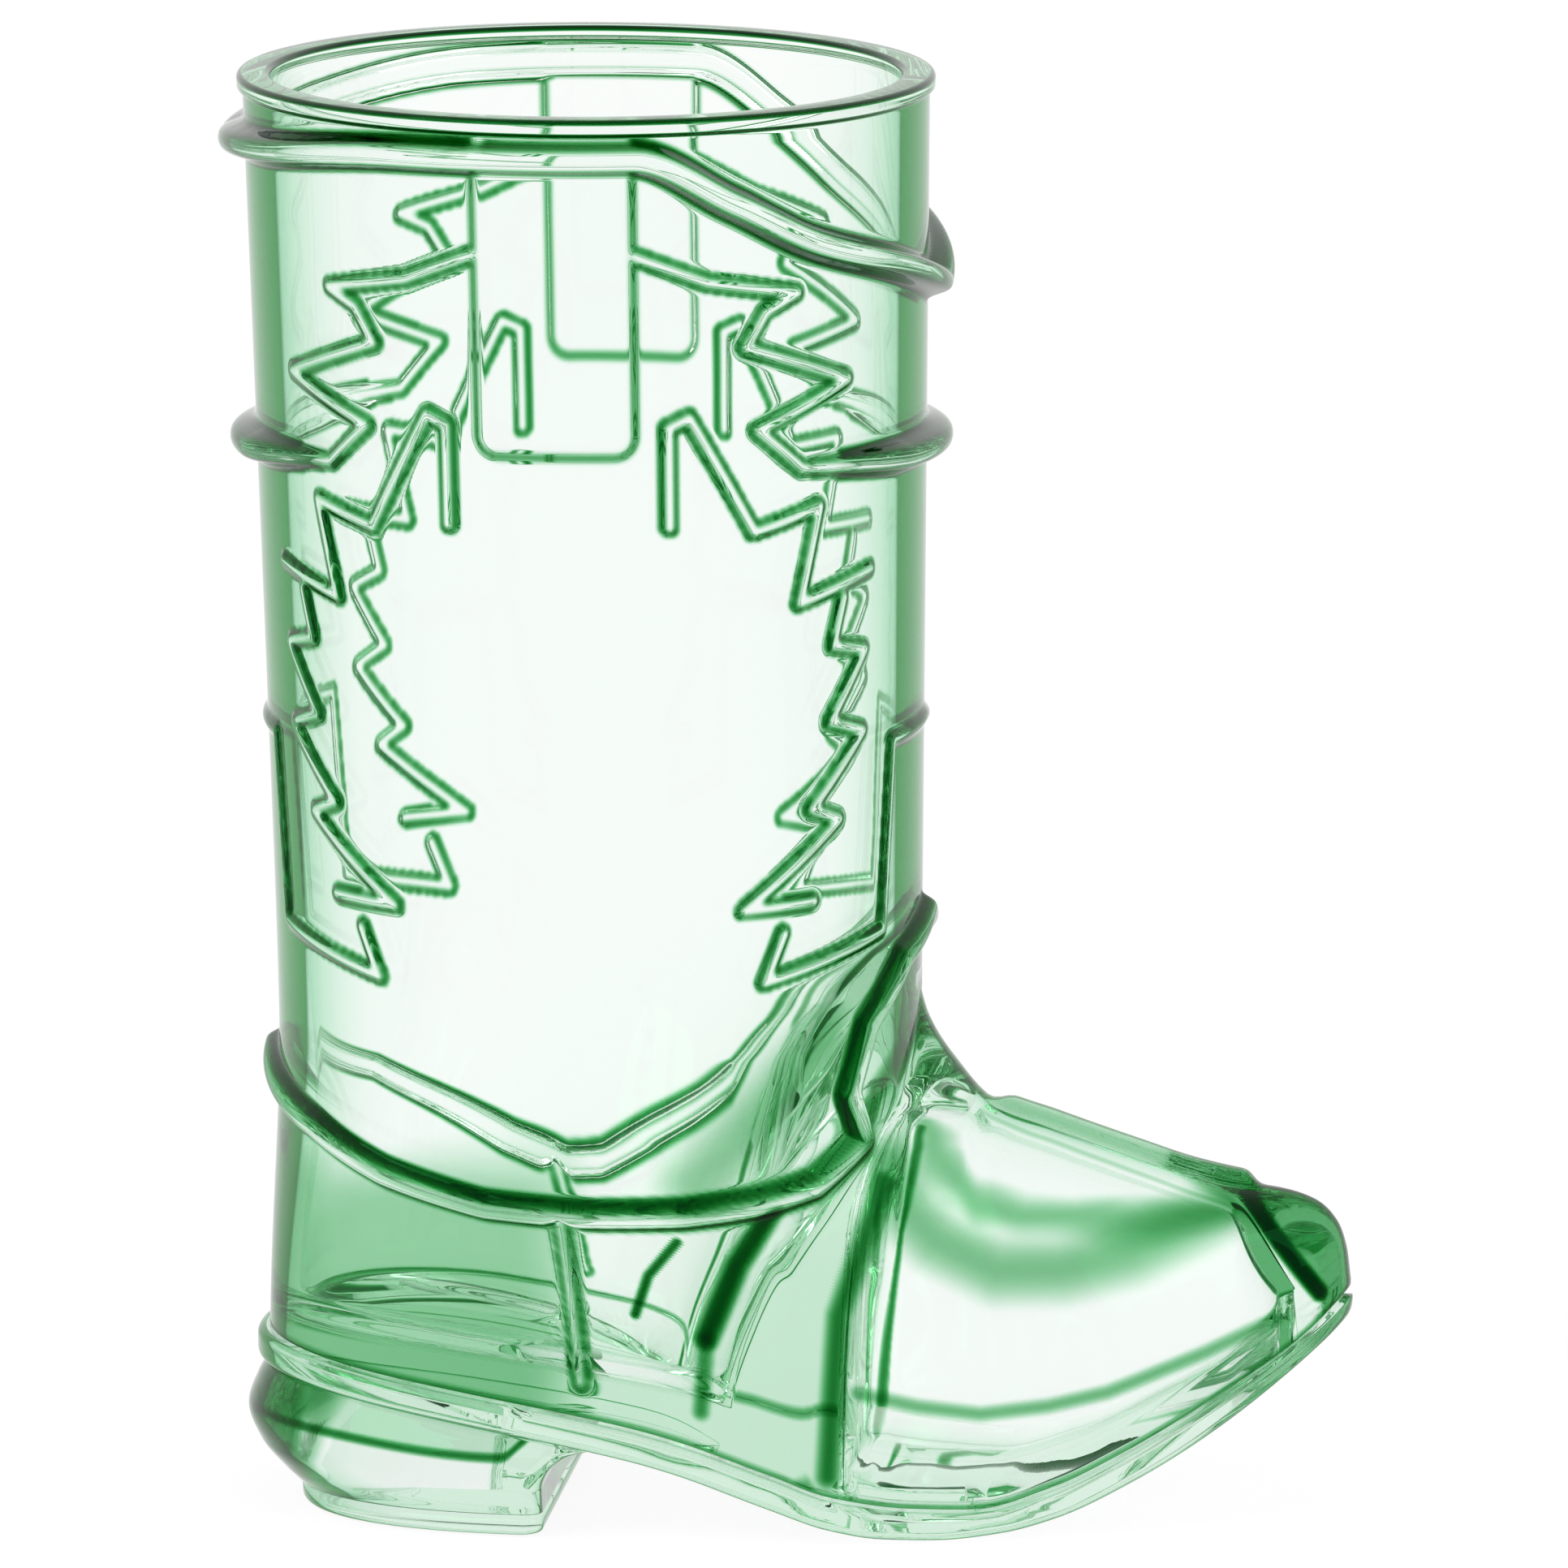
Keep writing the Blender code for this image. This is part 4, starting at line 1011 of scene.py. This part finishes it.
def studio_floor():
    """A wide pale floor that looks white and keeps a soft shadow."""
    mesh = bpy.data.meshes.new("studio_floor")
    ways = ((-1, -1), (1, -1), (1, 1), (-1, 1))
    mesh.from_pydata([(x * FLOOR_REACH, y * FLOOR_REACH, -FLOOR_DROP) for x, y in ways], [], [(0, 1, 2, 3)])
    floor = bpy.data.objects.new("studio_floor", mesh)
    bpy.context.scene.collection.objects.link(floor)
    material = bpy.data.materials.new("floor_white")
    material.use_nodes = True
    nodes = material.node_tree.nodes
    link = material.node_tree.links.new
    shader = nodes["Principled BSDF"]
    shader.inputs["Roughness"].default_value = 1.0
    shader.inputs["Specular IOR Level"].default_value = 0.0
    shader.inputs["Emission Color"].default_value = (1.0, 1.0, 1.0, 1.0)
    seen = seen_directly(nodes, link)
    link(blended(nodes, link, "MULTIPLY", seen, FLOOR_GREY), shader.inputs["Base Color"])
    link(blended(nodes, link, "MULTIPLY", seen, FLOOR_GLOW), shader.inputs["Emission Strength"])
    mesh.materials.append(material)


def soft_lamp(name, place, power):
    """A square soft light that points at the cup."""
    data = bpy.data.lights.new(name, "AREA")
    data.size = LAMP_SIZE
    data.energy = power
    lamp = bpy.data.objects.new(name, data)
    lamp.location = place
    lamp.rotation_euler = (Vector(LAMP_TARGET) - Vector(place)).to_track_quat("-Z", "Y").to_euler()
    bpy.context.scene.collection.objects.link(lamp)


def camera():
    """The camera, set up from the leg's axis."""
    data = bpy.data.cameras.new("camera")
    data.lens = CAMERA_LENS
    data.sensor_width = CAMERA_SENSOR
    data.sensor_fit = "HORIZONTAL"
    data.clip_end = CAMERA_REACH
    item = bpy.data.objects.new("camera", data)
    bpy.context.scene.collection.objects.link(item)
    turn = Matrix.Rotation(math.radians(CAMERA_HEADING), 4, "Z")
    tilt = Matrix.Rotation(math.radians(90.0 - CAMERA_FALL), 4, "X")
    place = Vector(CAMERA_PLACE) + Vector((LEG_AXIS_X, 0.0, 0.0))
    item.matrix_world = Matrix.Translation(place) @ turn @ tilt
    bpy.context.scene.camera = item


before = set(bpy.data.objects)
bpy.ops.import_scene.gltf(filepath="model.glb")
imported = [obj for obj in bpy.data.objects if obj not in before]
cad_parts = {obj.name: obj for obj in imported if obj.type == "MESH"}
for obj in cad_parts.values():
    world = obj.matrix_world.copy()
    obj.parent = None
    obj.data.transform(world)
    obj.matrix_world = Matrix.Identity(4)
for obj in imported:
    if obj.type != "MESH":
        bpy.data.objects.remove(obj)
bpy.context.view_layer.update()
LEG_AXIS_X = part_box("heel_lift")[1][0] - HEEL_BREAST_X

bpy.context.scene.view_settings.view_transform = "Standard"
bpy.context.scene.cycles.max_bounces = LIGHT_BOUNCES
bpy.context.scene.cycles.transmission_bounces = LIGHT_BOUNCES
bpy.context.scene.cycles.glossy_bounces = LIGHT_BOUNCES
camera()
white_world()
studio_floor()
for name, place, power in LAMPS:
    soft_lamp(name, place, power)

# Each piece, its node, its slot, the density of its green and its roughness
PIECES = [(boot_body, "boot_body", "body_plastic", 13.0, 0.010),
          (outsole, "outsole", "sole_plastic", 9.0, 0.012),
          (heel_block, "heel_block", "heel_plastic", 9.0, 0.012),
          (heel_lift, "heel_lift", "lift_plastic", 8.0, 0.020)]
for make, node, slot, density, roughness in PIECES:
    piece = make()
    piece.data.materials.append(clear_plastic(slot, density, roughness))
    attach(piece, "root")
    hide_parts(node)
